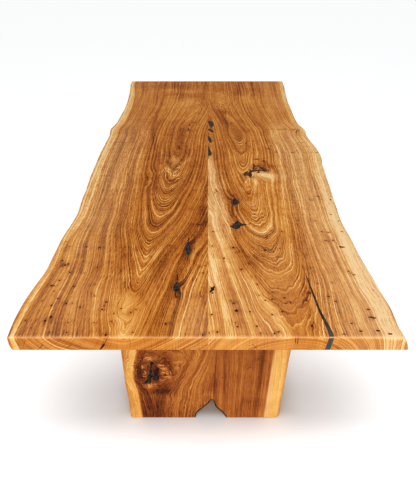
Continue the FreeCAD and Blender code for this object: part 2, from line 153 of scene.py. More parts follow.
def white_room():
    """Sky, floor and lamps. The sky and the floor are whiter on rays that the viewer sees."""
    world = bpy.data.worlds.new("white sky")
    bpy.context.scene.world = world
    world.use_nodes = True
    tree = world.node_tree
    tree.nodes.clear()
    strength = add(tree, "Mix", {0: seen_rays(tree), 2: SKY, 3: 1.0}).outputs[0]
    sky = add(tree, "Background", {"Color": (1, 1, 1, 1), "Strength": strength}).outputs[0]
    add(tree, "OutputWorld", {"Surface": sky})

    paint, tree, surface = new_material("white floor")
    here = add(tree, "TexCoord").outputs["Object"]
    mirrored = add(tree, "VectorMath", {0: here}, operation="ABSOLUTE").outputs[0]
    away = add(tree, "SeparateXYZ", {0: mirrored}).outputs
    # just inside the legs a painted shade darkens the floor's colour to brown, which stands for the shade
    # of the top and the brown light from the wood
    runs = ((away[1], PAINTED_LEG), (away[1], PAINTED_MIDDLE), (away[0], PAINTED_SIDE))
    inside, fades, sides = (
        add(tree, "MapRange", {"Value": place, "From Min": start, "From Max": end},
            interpolation_type="SMOOTHSTEP").outputs[0]
        for place, (start, end) in runs)
    shade = add(tree, "Math", {0: inside, 1: fades}, operation="MULTIPLY").outputs[0]
    shade = add(tree, "Math", {0: shade, 1: sides}, operation="MULTIPLY").outputs[0]
    floor_with_painted_shade = add(tree, "Mix", {0: shade, 6: linear(FLOOR_COLOUR), 7: linear(SHADED_COLOUR)},
                       data_type="RGBA").outputs[2]
    matt = add(tree, "BsdfDiffuse", {"Color": floor_with_painted_shade}).outputs[0]
    reach = {}
    spans = ((away[0], SHADE_SIDE, 1), (away[1], SHADE_OUT, 1), (away[1], SHADE_IN, -1))
    for i, (place, (start, length), sign) in enumerate(spans):
        past = add(tree, "Math", {0: place, 1: sign / length, 2: -sign * start / length},
                   operation="MULTIPLY_ADD")
        reach[i] = add(tree, "Math", {0: past.outputs[0], 1: 0.0}, operation="MAXIMUM").outputs[0]
    reached = add(tree, "CombineXYZ", reach).outputs[0]
    far = add(tree, "VectorMath", {0: reached}, operation="LENGTH").outputs["Value"]
    own = add(tree, "MapRange", {"Value": far, "To Max": GLOW}, interpolation_type="SMOOTHSTEP").outputs[0]
    lift = add(tree, "Math", {0: seen_rays(tree), 1: own}, operation="MULTIPLY").outputs[0]
    glow = add(tree, "Emission", {"Color": (1, 1, 1, 1), "Strength": lift}).outputs[0]
    tree.links.new(add(tree, "AddShader", {0: matt, 1: glow}).outputs[0], surface)
    mesh = bpy.data.meshes.new("floor")
    corners = [(x * FLOOR_HALF, y * FLOOR_HALF, -FLOOR_BELOW)
               for x, y in ((-1, -1), (1, -1), (1, 1), (-1, 1))]
    mesh.from_pydata(corners, [], [(0, 1, 2, 3)])
    mesh.materials.append(paint)
    floor = bpy.data.objects.new("floor", mesh)
    bpy.context.scene.collection.objects.link(floor)

    for name, watts, size, at, tipped in LAMPS:
        lamp = bpy.data.lights.new(name, "AREA")
        lamp.energy = watts
        lamp.size = size
        holder = bpy.data.objects.new(name, lamp)
        holder.location = at
        holder.rotation_euler = (math.radians(tipped), 0, 0)
        bpy.context.scene.collection.objects.link(holder)
        print(name, watts, "W over", size, "m")


white_room()

# %% [markdown]
# ## A board as the skin of a lattice
# A board has six faces, but it is easier to think of it as a block of small cells, numbered along its
# width, its length and its thickness. Only the skin of the block becomes faces. Each skin point keeps its
# three numbers, so a shape is one function from the three numbers to a place, and the same function can
# say which growth ring the point lies in. Lines of the lattice are set close together beside an
# arris, where the surface turns, and 4 to 7 mm apart elsewhere.

# %% The skin of a lattice
def lattice_skin(cells):
    """Skin points, as three whole numbers each, and quads of a block of cells[0] x cells[1] x cells[2].
    Each side's quads go round (0,0) (1,0) (1,1) (0,1) in the two other directions, taken in turn
    order, which faces outwards on the far side, and the near side is the same turned round."""
    quads = []
    for axis in range(3):
        u, v = (axis + 1) % 3, (axis + 2) % 3
        i, j = np.meshgrid(np.arange(cells[u]), np.arange(cells[v]), indexing="ij")
        for end in (0, cells[axis]):
            corners = np.zeros(i.shape + (4, 3), int)
            corners[..., axis] = end
            for k, (du, dv) in enumerate(((0, 0), (1, 0), (1, 1), (0, 1))):
                corners[..., k, u] = i + du
                corners[..., k, v] = j + dv
            if end == 0:
                corners = corners[..., ::-1, :]
            quads.append(corners.reshape(-1, 4, 3))
    size = np.array(cells) + 1
    code = (np.concatenate(quads) * [1, size[0], size[0] * size[1]]).sum(-1)
    points, quads = np.unique(code, return_inverse=True)
    points = np.stack([points % size[0], points // size[0] % size[1], points // (size[0] * size[1])], -1)
    return points, quads.reshape(-1, 4)


def lines(start, end, spacing, close=(0.0, 0.9, 3.0)):
    """Places of lattice lines from start to end: evenly spaced, and closer beside each end."""
    inner = max(2, round((end - start - 2 * close[-1]) / spacing))
    even = np.linspace(start + close[-1], end - close[-1], inner + 1)
    return np.concatenate([start + np.array(close[:-1]), even, end - np.array(close[:-1])[::-1]])


def eased(place, low, high, radius):
    """Rounds the arrises of a block: a point is pulled to the nearest point c of the block that is
    smaller by the radius all round, and set out again from c by one radius along (place - c)."""
    core = np.clip(place, low + radius, high - radius)
    out = place - core
    length = np.linalg.norm(out, axis=1, keepdims=True)
    return np.where(length > 1e-9, core + out * (radius / np.maximum(length, 1e-9)), place)


def make_piece(name, points, quads, attributes):
    """A smooth shaded object from points in mm, with one number per point for each attribute."""
    mesh = bpy.data.meshes.new(name)
    mesh.vertices.add(len(points))
    mesh.vertices.foreach_set("co", (np.asarray(points) * MM).ravel())
    mesh.loops.add(quads.size)
    mesh.loops.foreach_set("vertex_index", quads.ravel())
    mesh.polygons.add(len(quads))
    mesh.polygons.foreach_set("loop_start", np.arange(len(quads)) * quads.shape[1])
    mesh.update(calc_edges=True)
    mesh.shade_smooth()
    for key, values in attributes.items():
        mesh.attributes.new(key, "FLOAT", "POINT").data.foreach_set("value", values.astype(np.float32))
    piece = bpy.data.objects.new(name, mesh)
    bpy.context.scene.collection.objects.link(piece)
    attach(piece, "root")
    return piece


# %% [markdown]
# ## The live edges
# The outline of each board is the outline of the tree, and it is already in the construction model. Its
# top and bottom rims are read from there, as the width of the board at each place along it. Between
# the rims the edge swells a little. The bark came off with a drawknife, which leaves long shallow
# hollows, so a slow wandering of less than 3 mm is taken off that surface, never added.

# %% Rims and slow wandering
LENGTH = 2700.0
HALF = LENGTH / 2
TOP_Z, UNDER_Z = 750.0, 705.0
THICK = TOP_Z - UNDER_Z
BELLY = 3.0
SUNK = 0.1  # wood lies this far inside the construction faces, so that resin and steel show flush
IN_PLANE = 0.05  # mm: a construction point this near a plane lies in it
LIVE_SIDE = 440.0  # mm from the seam: rim points beyond it belong to the live edge
GRID = 256  # random numbers each way, after which the wandering repeats
HOLLOW_SHARE = 0.6


def drift(u, v, seed):
    """Slow wandering between -1 and 1 over a plane: random numbers on a grid of unit squares, with a
    smooth step 3t^2 - 2t^3 between them."""
    table = np.random.default_rng(seed).uniform(-1, 1, (GRID, GRID))
    u, v = np.broadcast_arrays(u, v)
    i, j = np.floor(u).astype(int), np.floor(v).astype(int)
    a, b = u - i, v - j
    a, b = a * a * (3 - 2 * a), b * b * (3 - 2 * b)
    near = table[i % GRID, j % GRID] * (1 - a) + table[(i + 1) % GRID, j % GRID] * a
    far = table[i % GRID, (j + 1) % GRID] * (1 - a) + table[(i + 1) % GRID, (j + 1) % GRID] * a
    return near * (1 - b) + far * b


def node_points(node):
    """The points of a construction node, in mm."""
    flat = np.empty(len(nodes[node].data.vertices) * 3, np.float32)
    nodes[node].data.vertices.foreach_get("co", flat)
    return flat.reshape(-1, 3).astype(float) / MM


def rim(node, side, height):
    """The board's width from the seam at one height, as (distance from the near end, width)."""
    p = node_points(node)
    p = p[(abs(p[:, 2] - height) < IN_PLANE) & (side * (p[:, 0] - SEAM_X) > LIVE_SIDE)]
    along = p[:, 1] + HALF
    order = np.argsort(along)
    return along[order], side * (p[order, 0] - SEAM_X)


rims = {(node, z): rim(node, side, z)
        for node, side in (("left_board", -1), ("right_board", 1)) for z in (TOP_Z, UNDER_Z)}
for (node, z), (along, width) in rims.items():
    print(node, "rim at", z, "has", len(along), "points, width", round(width.min()), "to", round(width.max()))


# %% Shape of a board
BLOCK_WIDE = 500.0  # a board begins as a straight block this wide
EDGE_STRIP = 40.0  # of which the strip along the live edge keeps its size
BEYOND_SEAM = 300.0  # for rounding, the block reaches this far beyond the seam, which stays square
BOARD_STEPS = (6.2, 6.6, 4.4)  # mm between lattice lines across, along and down
ARRIS_TOP, ARRIS_UNDER = 3.0, 2.0  # radii


def live_width(node, side, along, depth):
    """Width from the seam: between the two rims in a straight line down the thickness, plus a belly
    4 t (1 - t) of 3 mm, less the wandering, with t from 0 at the top to 1 underneath."""
    t = depth / THICK
    top, under = (np.interp(along, *rims[node, z]) for z in (TOP_Z, UNDER_Z))
    hollow = 1.6 * (1 + drift(along / 75, depth / 60 + 9, 21 + side))
    hollow += 0.7 * (1 + drift(along / 24, depth / 17, 31 + side))
    return top * (1 - t) + under * t + BELLY * 4 * t * (1 - t) - hollow * HOLLOW_SHARE


def board_shape(node, side):
    """Lattice over (distance from the seam, distance from the near end, depth below the top)."""
    spans = [lines(0, size, step) for size, step in zip((BLOCK_WIDE, LENGTH, THICK), BOARD_STEPS)]
    index, quads = lattice_skin([len(s) - 1 for s in spans])
    across, along, depth = (spans[k][index[:, k]] for k in range(3))
    ease = np.where(depth < THICK / 2, ARRIS_TOP, ARRIS_UNDER)[:, None]
    place = eased(np.stack([across, along, depth], 1), np.array([-BEYOND_SEAM, SUNK, SUNK]),
                  np.array([BLOCK_WIDE, LENGTH - SUNK, THICK - SUNK]), ease)
    across, along, depth = place.T
    # the strip along the live edge keeps its size and the rest is stretched to the width of the tree
    wide = live_width(node, side, along, depth)
    inner = BLOCK_WIDE - EDGE_STRIP
    across = np.where(across > inner, wide - (BLOCK_WIDE - across), across * (wide - EDGE_STRIP) / inner)
    points = np.stack([SEAM_X + side * across, along - HALF, TOP_Z - depth], 1)
    if side < 0:
        quads = quads[:, ::-1]
    # x runs across, y along and depth runs down, so the block is turned inside out once
    return points, quads[:, ::-1], across * side, along, depth


# %% [markdown]
# ## How the rings run through a board
# Sawn along a trunk, rings show as long straight lines near the edges and as nested arches over the
# heart of the board, where the saw ran level with them. A point's ring is its distance from the pith,
# the middle of the trunk: the square root of (sideways^2 + depth^2) if trunks were perfect cylinders.
# Here the pith comes nearer to the surface along the board, which closes the arches into tongues, a power
# other than 2 makes their tips sharper or rounder, and the scale is stretched so that the live edge
# is one ring from end to end. Knots add a soft bump, and the rings bend round it.

# %% Curves along a board, and soft marks
def along_curve(points, y, soft=60.0):
    """A smooth curve through (y, value) points: straight runs, blurred by a bell of soft mm."""
    fine = np.arange(-400, LENGTH + 401, 5.0)
    p = np.array(points, float)
    bell = np.exp(-0.5 * (np.arange(-60, 61) * 5.0 / soft) ** 2)
    runs = np.pad(np.interp(fine, p[:, 0], p[:, 1]), 60, mode="edge")
    return np.interp(y, fine, np.convolve(runs, bell / bell.sum(), mode="valid"))


def band(x, y, points, half_width):
    """1 along a curve through (y, x) points and less to each side as a bell, fading at its two ends."""
    start, end = points[0][0], points[-1][0]
    fade = min(16.0, 0.14 * (end - start))
    ends = 1 / ((1 + np.exp((start - y) / fade)) * (1 + np.exp((y - end) / fade)))
    return np.exp(-((x - along_curve(points, y, min(30.0, fade + 5))) / half_width) ** 2) * ends


def bump(x, y, at, half_size):
    """A soft round mark: a bell in x and in y."""
    return np.exp(-((x - at[0]) / half_size[0]) ** 2 - ((y - at[1]) / half_size[1]) ** 2)


def smooth_step(start, end, v):
    """0 before start, 1 after end, 3t^2 - 2t^3 between."""
    t = np.clip((v - start) / (end - start), 0, 1)
    return t * t * (3 - 2 * t)


# %% Rings of the two boards
# side: -1 left and 1 right. pith: 1 if it lies above the board and -1 below. reach: ring of the
# live edge. power: low for arches with sharp tips, high for round ones. heart: where the arches have their
# tips. pith_off: how far the pith is from the top. Pairs are (distance from the near end, value), mm.
LEFT = {
    "node": "left_board", "side": -1, "pith": 1, "reach": 330.0,
    "power": [(0, 1.3), (430, 1.35), (620, 1.9), (1100, 1.9), (1300, 1.4), (2700, 1.4)],
    "heart": [(0, -224), (250, -213), (400, -205), (650, -188), (850, -167), (1000, -153), (1300, -148),
              (1500, -143), (1700, -130), (2000, -78), (2200, -52), (2700, -40)],
    "pith_off": [(0, 176), (250, 150), (650, 103), (1000, 62), (1385, 10), (1500, 6), (2700, 6)],
    # (x, y), half sizes, how many mm of rings the knot pushes aside
    "knots": [((-66, 445), (20, 46), 16), ((-93, 228), (17, 40), 14), ((-33, 612), (9, 16), 5),
              ((-140, 1385), (10, 24), 6), ((-155, 1510), (8, 40), 6), ((-130, 1600), (10, 35), 6),
              ((-105, 1650), (10, 30), 5), ((-470, 345), (14, 20), 4), ((-350, 215), (34, 60), -7),
              ((-265, 1010), (30, 60), 9)],
    "parted": [((-262, 1035), (30, 60), 16), ((-93, 228), (34, 50), 8), ((-66, 445), (34, 60), 12),
               ((-222, 122), (30, 30), 12)],
    "jagged": [((-150, 1160), (70, 190), 5.0), ((-225, 120), (46, 100), 3.2),
               ((-250, 1020), (34, 100), 5.0)],
}
RIGHT = {
    "node": "right_board", "side": 1, "pith": -1, "reach": 320.0,
    "power": [(0, 2.2), (260, 2.1), (430, 1.8), (1000, 1.8), (1250, 2.1), (2700, 2.3)],
    "heart": [(0, 244), (180, 226), (330, 214), (450, 202), (650, 186), (850, 167), (1000, 158),
              (1300, 160), (1450, 160), (1600, 152), (1750, 140), (2000, 92), (2250, 66), (2700, 60)],
    "pith_off": [(0, 174), (150, 166), (300, 150), (430, 127), (560, 102), (700, 82), (850, 67), (1000, 55),
                 (1100, 47), (1300, 40), (1450, 32), (1540, 20), (1600, 0), (1660, -20), (1740, -32),
                 (2000, -34), (2700, -34)],
    "knots": [((105, 610), (24, 46), 17), ((105, 800), (22, 46), 17), ((13, 215), (13, 22), 7),
              ((245, 1060), (40, 40), 22), ((215, 1130), (26, 26), 12), ((490, 815), (10, 16), 5),
              ((170, 1290), (22, 40), 2), ((26, 700), (20, 60), 14), ((30, 1090), (14, 44), 9),
              ((40, 880), (14, 30), 9), ((430, 500), (14, 10), 4), ((450, 455), (10, 8), 4),
              ((482, 1640), (30, 50), 12)],
    "parted": [((242, 1066), (62, 70), 34), ((105, 800), (40, 60), 12), ((106, 608), (40, 60), 12)],
    "jagged": [((215, 560), (80, 420), 2.0), ((185, 960), (40, 50), 3.0), ((240, 110), (60, 90), 1.2)],
}
DEPTH_SHARE = 1.3  # the boards were not sawn square to the trunk, so rings lie flatter in the ends


def board_rings(board, x, y, depth):
    """Ring number in mm: (|sideways|^p + |pith distance|^p)^(1/p), where sideways is measured from the
    heart and scaled towards the live edge, plus bumps at knots and two slow wanderings. Beside it are
    the sideways part alone, which stays the same along a fibre, and how near the tip of an arch it is.
    Where the rings part round a place, they are pushed away from it by an amount x / half size."""
    heart = along_curve(board["heart"], y)
    pith = along_curve(board["pith_off"], y, 40.0) + board["pith"] * DEPTH_SHARE * depth
    sideways = x - heart
    outward = board["side"] * sideways > 0
    power = along_curve(board["power"], y)
    wide = abs(board["side"] * np.interp(y, *rims[board["node"], TOP_Z]) - heart)
    pith_size = np.minimum(abs(pith), 0.9 * board["reach"])
    scale = np.where(outward, (board["reach"] ** power - pith_size ** power) ** (1 / power) / wide, 1.0)
    fibre = sideways * scale
    ring = (np.hypot(fibre, 3.0) ** power + abs(pith) ** power) ** (1 / power)
    for at, half_size, amount in board["knots"]:
        push = amount * bump(x, y, at, half_size)
        ring = ring + push
        fibre = fibre + push * np.sign(at[0] - np.interp(at[1], *np.transpose(board["heart"])))
    for at, half_size, amount in board["parted"]:
        ring = ring - board["side"] * amount * (x - at[0]) / half_size[0] * bump(x, y, at, half_size)
    for at, half_size, amount in board["jagged"]:
        waver = drift(x / 11, y / 30, 7) + 0.6 * drift(x / 24, y / 60, 8)
        ring = ring + amount * bump(x, y, at, half_size) * waver
    tip = smooth_step(0.66, 0.95, abs(pith) / np.maximum(ring, 1.0)) * smooth_step(3, 12, abs(pith))
    tip = tip * smooth_step(1760, 1640, y) * smooth_step(0.3, 3.0, y)
    tip = tip * (1 - 0.7 * bump(x, y, (165, 1215), (40, 80)))
    sway = 4.0 * drift(x / 110, y / 300, 3) + 2.6 * drift(x / 45, y / 120, 5)
    return ring + sway, fibre + sway + 2.0 * drift(x / 60, y / 160, 13), tip


# %% [markdown]
# ## Pale and dark wood
# The base tone of each board runs from 0, almost black brown, to 1, the cream of sapwood. Marks shift
# it: bands along curves, such as the brown heart or a pale streak, and soft spots, such as the swirl
# beside a knot. Wood that grew under strain also has short dark flecks across its grain. The golden
# wedge that opens along the seam and the sapwood under the bark are regions of their own.

# %% Bands and spots of the two boards
LEFT_BANDS = {  # amount, half width, (y, x) points
    "brown heart": (-0.06, 110, [(330, -190), (1700, -170)]),
    "brown between heart and seam": (-0.05, 60, [(330, -110), (1700, -60)]),
    "smooth brown between the knots": (-0.12, 24, [(-50, -124), (100, -112), (250, -90), (420, -62)]),
    "dark streak through the knots": (-0.22, 15, [(400, -66), (520, -52), (650, -22), (760, -8)]),
    "golden line beside it": (0.2, 6, [(-50, -92), (110, -76), (250, -59), (420, -45), (520, -34)]),
    "golden line at the foot": (0.17, 13, [(-60, -82), (40, -76), (110, -68)]),
    "brown along the seam": (-0.10, 20, [(550, -12), (1300, -12)]),
    "golden strip at the seam": (0.10, 18, [(-60, -40), (200, -34), (380, -22)]),
    "golden flame at the end": (0.3, 36, [(-60, -222), (120, -230), (205, -238)]),
    "brown inside the flame": (-0.20, 11, [(88, -216), (125, -214)]),
    "brown over the flame": (-0.12, 32, [(205, -218), (262, -216)]),
    "golden tip": (0.2, 9, [(362, -205), (405, -202)]),
    "golden stroke beside the tip": (0.24, 7, [(365, -182), (430, -160)]),
    "golden stroke at the left": (0.26, 7, [(255, -262), (315, -257)]),
    "brown beside the tips": (-0.10, 20, [(230, -160), (430, -140)]),
    "brown beside the flame": (-0.12, 14, [(-60, -176), (120, -150)]),
    "pale swirl": (0.10, 36, [(30, -322), (290, -335)]),
    "brown beside the swirl": (-0.08, 24, [(-60, -395), (110, -385)]),
    "brown corner": (-0.07, 30, [(-60, -470), (90, -455)]),
    "pale line, first": (0.16, 8, [(880, -392), (1100, -388), (1450, -386)]),
    "pale line, second": (0.14, 6, [(930, -362), (1150, -352), (1350, -345)]),
    "pale line, third": (0.12, 7, [(150, -462), (500, -447), (900, -440), (1300, -452)]),
    "brown line": (-0.13, 6, [(100, -430), (500, -418), (900, -410), (1500, -420)]),
    "long brown line": (-0.16, 10, [(1400, -262), (1700, -300), (2050, -288), (2300, -282)]),
    "brown behind the arches": (-0.05, 34, [(860, -232), (1100, -246), (1400, -244)]),
    "red brown arches": (-0.14, 62, [(980, -152), (1370, -150)]),
    "paler arches": (0.03, 60, [(560, -175), (760, -165)]),
    "brown beside the heart": (-0.09, 34, [(230, -255), (500, -262)]),
    "golden tip, wide": (0.38, 17, [(1030, -150), (1072, -146)]),
    "golden tip, left": (0.34, 8, [(1085, -172), (1135, -178)]),
    "golden tips in a row": (0.34, 10, [(1130, -132), (1160, -124)]),
    "golden spot": (0.32, 10, [(1190, -128), (1212, -122)]),
    "golden stroke up": (0.32, 8, [(1232, -152), (1285, -168)]),
    "golden stroke out": (0.3, 8, [(1220, -176), (1262, -190)]),
    "golden limb": (0.28, 6, [(1150, -136), (1190, -104), (1240, -94)]),
    "knotty line": (-0.10, 20, [(1380, -120), (1700, -145)]),
    "pale line to the seam, first": (0.18, 7, [(1720, -172), (1850, -128), (2010, -62), (2080, -52)]),
    "pale line to the seam, second": (0.14, 6, [(1740, -140), (1850, -100), (1980, -56)]),
    "dark line between them": (-0.12, 6, [(1740, -155), (1850, -114), (2000, -60)]),
    "paler along the seam": (0.07, 70, [(1380, -60), (2650, -60)]),
    "smooth far middle": (0.10, 105, [(1830, -215), (2060, -215), (2250, -220)]),
    "smooth far middle, arched": (0.10, 60, [(2060, -120), (2190, -120)]),
    "brown at the far seam": (-0.12, 22, [(2050, -20), (2700, -20)]),
    "brown beyond the pale wood": (-0.08, 150, [(2530, -200), (2620, -200)]),
}
RIGHT_BANDS = {
    "golden arches": (0.12, 74, [(560, 240), (1060, 245)]),
    "brown arches": (-0.07, 90, [(240, 235), (480, 215)]),
    "brown heart at the end": (-0.09, 70, [(-60, 230), (70, 225)]),
    "brown beside the arches": (-0.10, 38, [(700, 135), (1220, 140)]),
    "pale wood beyond the arches": (0.07, 70, [(560, 370), (1650, 380)]),
    "brown patch below the arches": (-0.26, 34, [(335, 158), (385, 160), (410, 148)]),
    "dark line beside the wedge": (-0.17, 16, [(400, 128), (500, 104), (620, 94), (800, 94), (900, 88)]),
    "golden streak beside the wedge": (0.3, 18, [(-60, 216), (60, 196), (200, 152), (318, 116)]),
    "brown edge of the golden streak": (-0.12, 7, [(-60, 250), (60, 226), (200, 180), (318, 138)]),
    "golden line, first": (0.12, 6, [(-60, 150), (120, 110), (300, 75), (500, 48)]),
    "brown line in the wedge": (-0.12, 7, [(-60, 118), (120, 86), (300, 52)]),
    "golden line, second": (0.12, 6, [(-60, 64), (120, 44), (260, 30)]),
    "orange beside the pale core": (0.10, 10, [(500, 78), (600, 70), (680, 62)]),
    "brown beyond the core": (-0.07, 12, [(640, 82), (760, 72), (860, 60)]),
    "thin brown line in the core": (-0.10, 4, [(560, 14), (700, 16), (800, 22), (860, 30)]),
    "thin brown line, second": (-0.10, 4, [(600, 44), (720, 46), (800, 38)]),
    "pale line beside the seam": (0.12, 4, [(620, 34), (740, 30), (860, 16), (960, 6)]),
    "peach strip at the split": (0.16, 9, [(-60, 300), (60, 298), (160, 300)]),
    "brown line left of the strip": (-0.14, 6, [(-60, 284), (160, 286), (320, 288)]),
    "brown beside the seam knots": (-0.10, 44, [(1000, 40), (1500, 80), (1750, 110)]),
    "brown wedge": (-0.20, 34, [(1740, 108), (1850, 84), (1960, 66), (2040, 62)]),
    "pale line beside the brown wedge": (0.14, 6, [(1760, 172), (1900, 112), (2060, 80), (2300, 70)]),
    "brown round the eye": (-0.09, 44, [(1380, 150), (1700, 170)]),
    "brown at the far seam": (-0.09, 26, [(2030, 26), (2180, 26)]),
    "brown line beyond the arches": (-0.16, 9, [(440, 305), (700, 298)]),
    "pale limb of the arches": (0.12, 8, [(560, 262), (700, 282), (900, 310), (1050, 322)]),
    "outer pale line, first": (0.12, 8, [(1050, 430), (1300, 452), (1600, 440)]),
    "outer pale line, second": (0.12, 8, [(1250, 352), (1500, 345), (1700, 330)]),
    "outer brown line": (-0.12, 7, [(600, 395), (900, 402), (1300, 412), (1600, 402)]),
    "outer brown line, second": (-0.12, 6, [(60, 372), (400, 352), (800, 348)]),
    "brown line at the collar": (-0.16, 7, [(1500, 462), (1600, 456), (1672, 486)]),
    "pale column": (0.12, 9, [(-60, 384), (600, 374)]),
    "pale column, outer": (0.09, 7, [(-60, 436), (640, 428)]),
    "brown column": (-0.10, 5, [(-60, 407), (640, 398)]),
    "brown column, second": (-0.09, 4, [(-60, 422), (600, 414)]),
    "far brown line": (-0.14, 8, [(2330, 296), (2700, 302)]),
    "far brown line, second": (-0.12, 9, [(2300, 205), (2700, 212)]),
    "far pale line": (0.12, 8, [(2330, 10), (2700, 14)]),
    "golden V": (0.42, 7, [(930, 166), (985, 160)]),
    "golden V, right limb": (0.4, 6, [(955, 198), (1015, 204)]),
    "golden V, left limb": (0.34, 6, [(975, 158), (1035, 178)]),
}
LEFT_SPOTS = {  # amount, (x, y), half sizes
    "dark eye": (-0.24, (-140, 1385), (12, 26)),
    "pale lip under it": (0.12, (-140, 1352), (14, 9)),
    "tip brown": (-0.16, (-160, 905), (32, 22)),
    "tip brown, second": (-0.14, (-152, 985), (26, 16)),
    "brown arc": (-0.13, (-110, 2310), (52, 34)),
    "brown arc, left": (-0.13, (-205, 2352), (62, 24)),
    "pale arc": (0.09, (-130, 2420), (60, 28)),
    "pale arc, left": (0.08, (-250, 2452), (80, 26)),
    "brown under it": (-0.08, (-330, 1950), (30, 110)),
    "brown round a knot": (-0.10, (-462, 352), (22, 16)),
    "worn brown": (-0.10, (-270, 560), (22, 50)),
    "brown round the near knot": (-0.16, (-94, 234), (24, 34)),
    "brown round the second knot": (-0.12, (-66, 450), (20, 48)),
    "pale outer wood": (0.11, (-440, 960), (70, 460)),
    "pale outer wood, inner": (0.05, (-350, 1200), (50, 250)),
    "brown at the seam": (-0.09, (-50, 212), (45, 62)),
    "brown at the end": (-0.08, (-262, 20), (50, 60)),
}
RIGHT_SPOTS = {
    "cream swirl": (0.42, (226, 1066), (32, 23)),
    "cream swirl, right": (0.42, (272, 1046), (32, 30)),
    "cream swirl, lower": (0.14, (280, 1006), (16, 20)),
    "brown hollow of the knot": (-0.34, (168, 1072), (10, 24)),
    "brown under the crack": (-0.18, (212, 1128), (16, 26)),
    "brown over the knot": (-0.16, (240, 1175), (34, 22)),
    "pale patch": (0.10, (208, 1262), (30, 34)),
    "golden spot": (0.16, (165, 1288), (8, 24)),
    "brown spot": (-0.2, (228, 1240), (12, 9)),
    "brown line of the swirl": (-0.24, (306, 1060), (9, 80)),
    "brown line of the swirl, upper": (-0.16, (280, 1150), (14, 34)),
    "eye": (-0.03, (150, 1585), (20, 60)),
    "pale eyelid": (0.10, (132, 1580), (6, 60)),
    "brown under the eye": (-0.12, (155, 1480), (26, 50)),
    "pale outer patch": (0.07, (380, 1650), (60, 120)),
    "pale wood near the right edge": (0.06, (430, 900), (60, 500)),
    "brown outer patch": (-0.05, (400, 1850), (120, 140)),
    "pale far patch": (0.09, (98, 2330), (26, 70)),
    "pale far patch, right": (0.09, (245, 2250), (38, 80)),
    "pale at the collar": (0.12, (470, 1700), (16, 40)),
    "cream at the seam": (0.2, (14, 320), (18, 80)),
    "brown round the bark knot": (-0.14, (20, 214), (12, 14)),
    "cream in the core": (0.14, (26, 745), (12, 32)),
    "cream in the core, second": (0.10, (20, 1020), (11, 34)),
    "brown slant in the core": (-0.16, (16, 972), (7, 18)),
    "brown at the seam": (-0.18, (3, 868), (6, 14)),
    "brown at the small knots": (-0.10, (46, 872), (20, 36)),
    "brown above the core": (-0.08, (30, 1180), (16, 70)),
}
FLECK_TONE = -0.17
SWIRL = (250, 1052)  # x, y of the smooth pale wood under the large knot
LEFT_FLECKS = [  # (x, y, half size across, half size along)
    (-470, 1468, 26, 6), (-425, 1462, 18, 5), (-440, 1432, 26, 5), (-372, 1464, 14, 4), (-462, 1052, 18, 6),
    (-436, 1048, 12, 5), (-480, 1140, 12, 5), (-455, 1330, 20, 4), (-395, 1262, 14, 5), (-300, 1310, 22, 4),
    (-475, 1600, 18, 6), (-430, 1665, 20, 5), (-440, 880, 16, 4), (-360, 1560, 16, 4), (-478, 760, 12, 5),
]
RIGHT_FLECKS = [
    (505, 1330, 18, 7), (470, 1326, 14, 5), (404, 1326, 11, 7), (430, 1350, 12, 5), (325, 1332, 9, 7),
    (300, 1380, 9, 9), (360, 1342, 14, 4), (460, 1662, 20, 7), (412, 1668, 14, 6), (380, 1664, 12, 5),
    (345, 1668, 14, 5), (295, 1662, 10, 4), (470, 1465, 14, 6), (440, 1440, 12, 6), (498, 1410, 8, 7),
    (385, 1500, 12, 4), (440, 845, 12, 6), (452, 920, 10, 5), (395, 640, 8, 5), (420, 1240, 16, 4),
]
# pin knots: x from the seam, distance from the near end, size in mm, darkness
LEFT_PINS = [
    (-33, 612, 7, 0.8), (-14, 632, 6, 0.6), (-486, 491, 5, 0.7), (-468, 460, 4, 0.6), (-409, 457, 6, 0.7),
    (-365, 452, 7, 0.8), (-471, 372, 6, 0.7), (-455, 345, 8, 0.8), (-448, 352, 7, 0.7), (-462, 338, 5, 0.6),
    (-430, 303, 5, 0.9), (-453, 260, 5, 0.8), (-470, 233, 7, 0.8), (-462, 232, 5, 0.6), (-402, 228, 5, 0.9),
    (-455, 205, 4, 0.6), (-436, 170, 5, 0.9), (-478, 157, 4, 0.6), (-446, 137, 5, 0.8), (-405, 145, 5, 0.8),
    (-388, 147, 4, 0.7), (-362, 128, 5, 0.8), (-292, 152, 6, 0.7), (-434, 84, 8, 0.9), (-446, 68, 7, 0.8),
    (-475, 38, 4, 0.6), (-270, 10, 6, 0.9), (-245, 122, 5, 0.7), (-298, 118, 5, 0.8), (-296, 135, 4, 0.6),
    (-264, 66, 4, 0.6), (-262, 100, 4, 0.5), (-203, 118, 4, 0.5), (-216, 104, 5, 0.5), (-115, 55, 6, 0.7),
    (-92, 175, 7, 0.6), (-128, 465, 5, 0.6), (-26, 335, 5, 0.8), (-10, 342, 5, 0.6), (-15, 300, 6, 0.6),
    (-14, 10, 5, 0.8), (-20, 180, 4, 0.5), (-340, 240, 4, 0.6), (-385, 300, 4, 0.5), (-310, 60, 4, 0.6),
    (-380, 60, 4, 0.6), (-500, 70, 4, 0.6), (-350, 330, 4, 0.5), (-280, 455, 4, 0.5), (-375, 20, 5, 0.7),
    (-82, 1782, 7, 0.7), (-60, 905, 4, 0.4), (-330, 180, 4, 0.6), (-420, 20, 4, 0.6), (-200, 20, 4, 0.5),
]
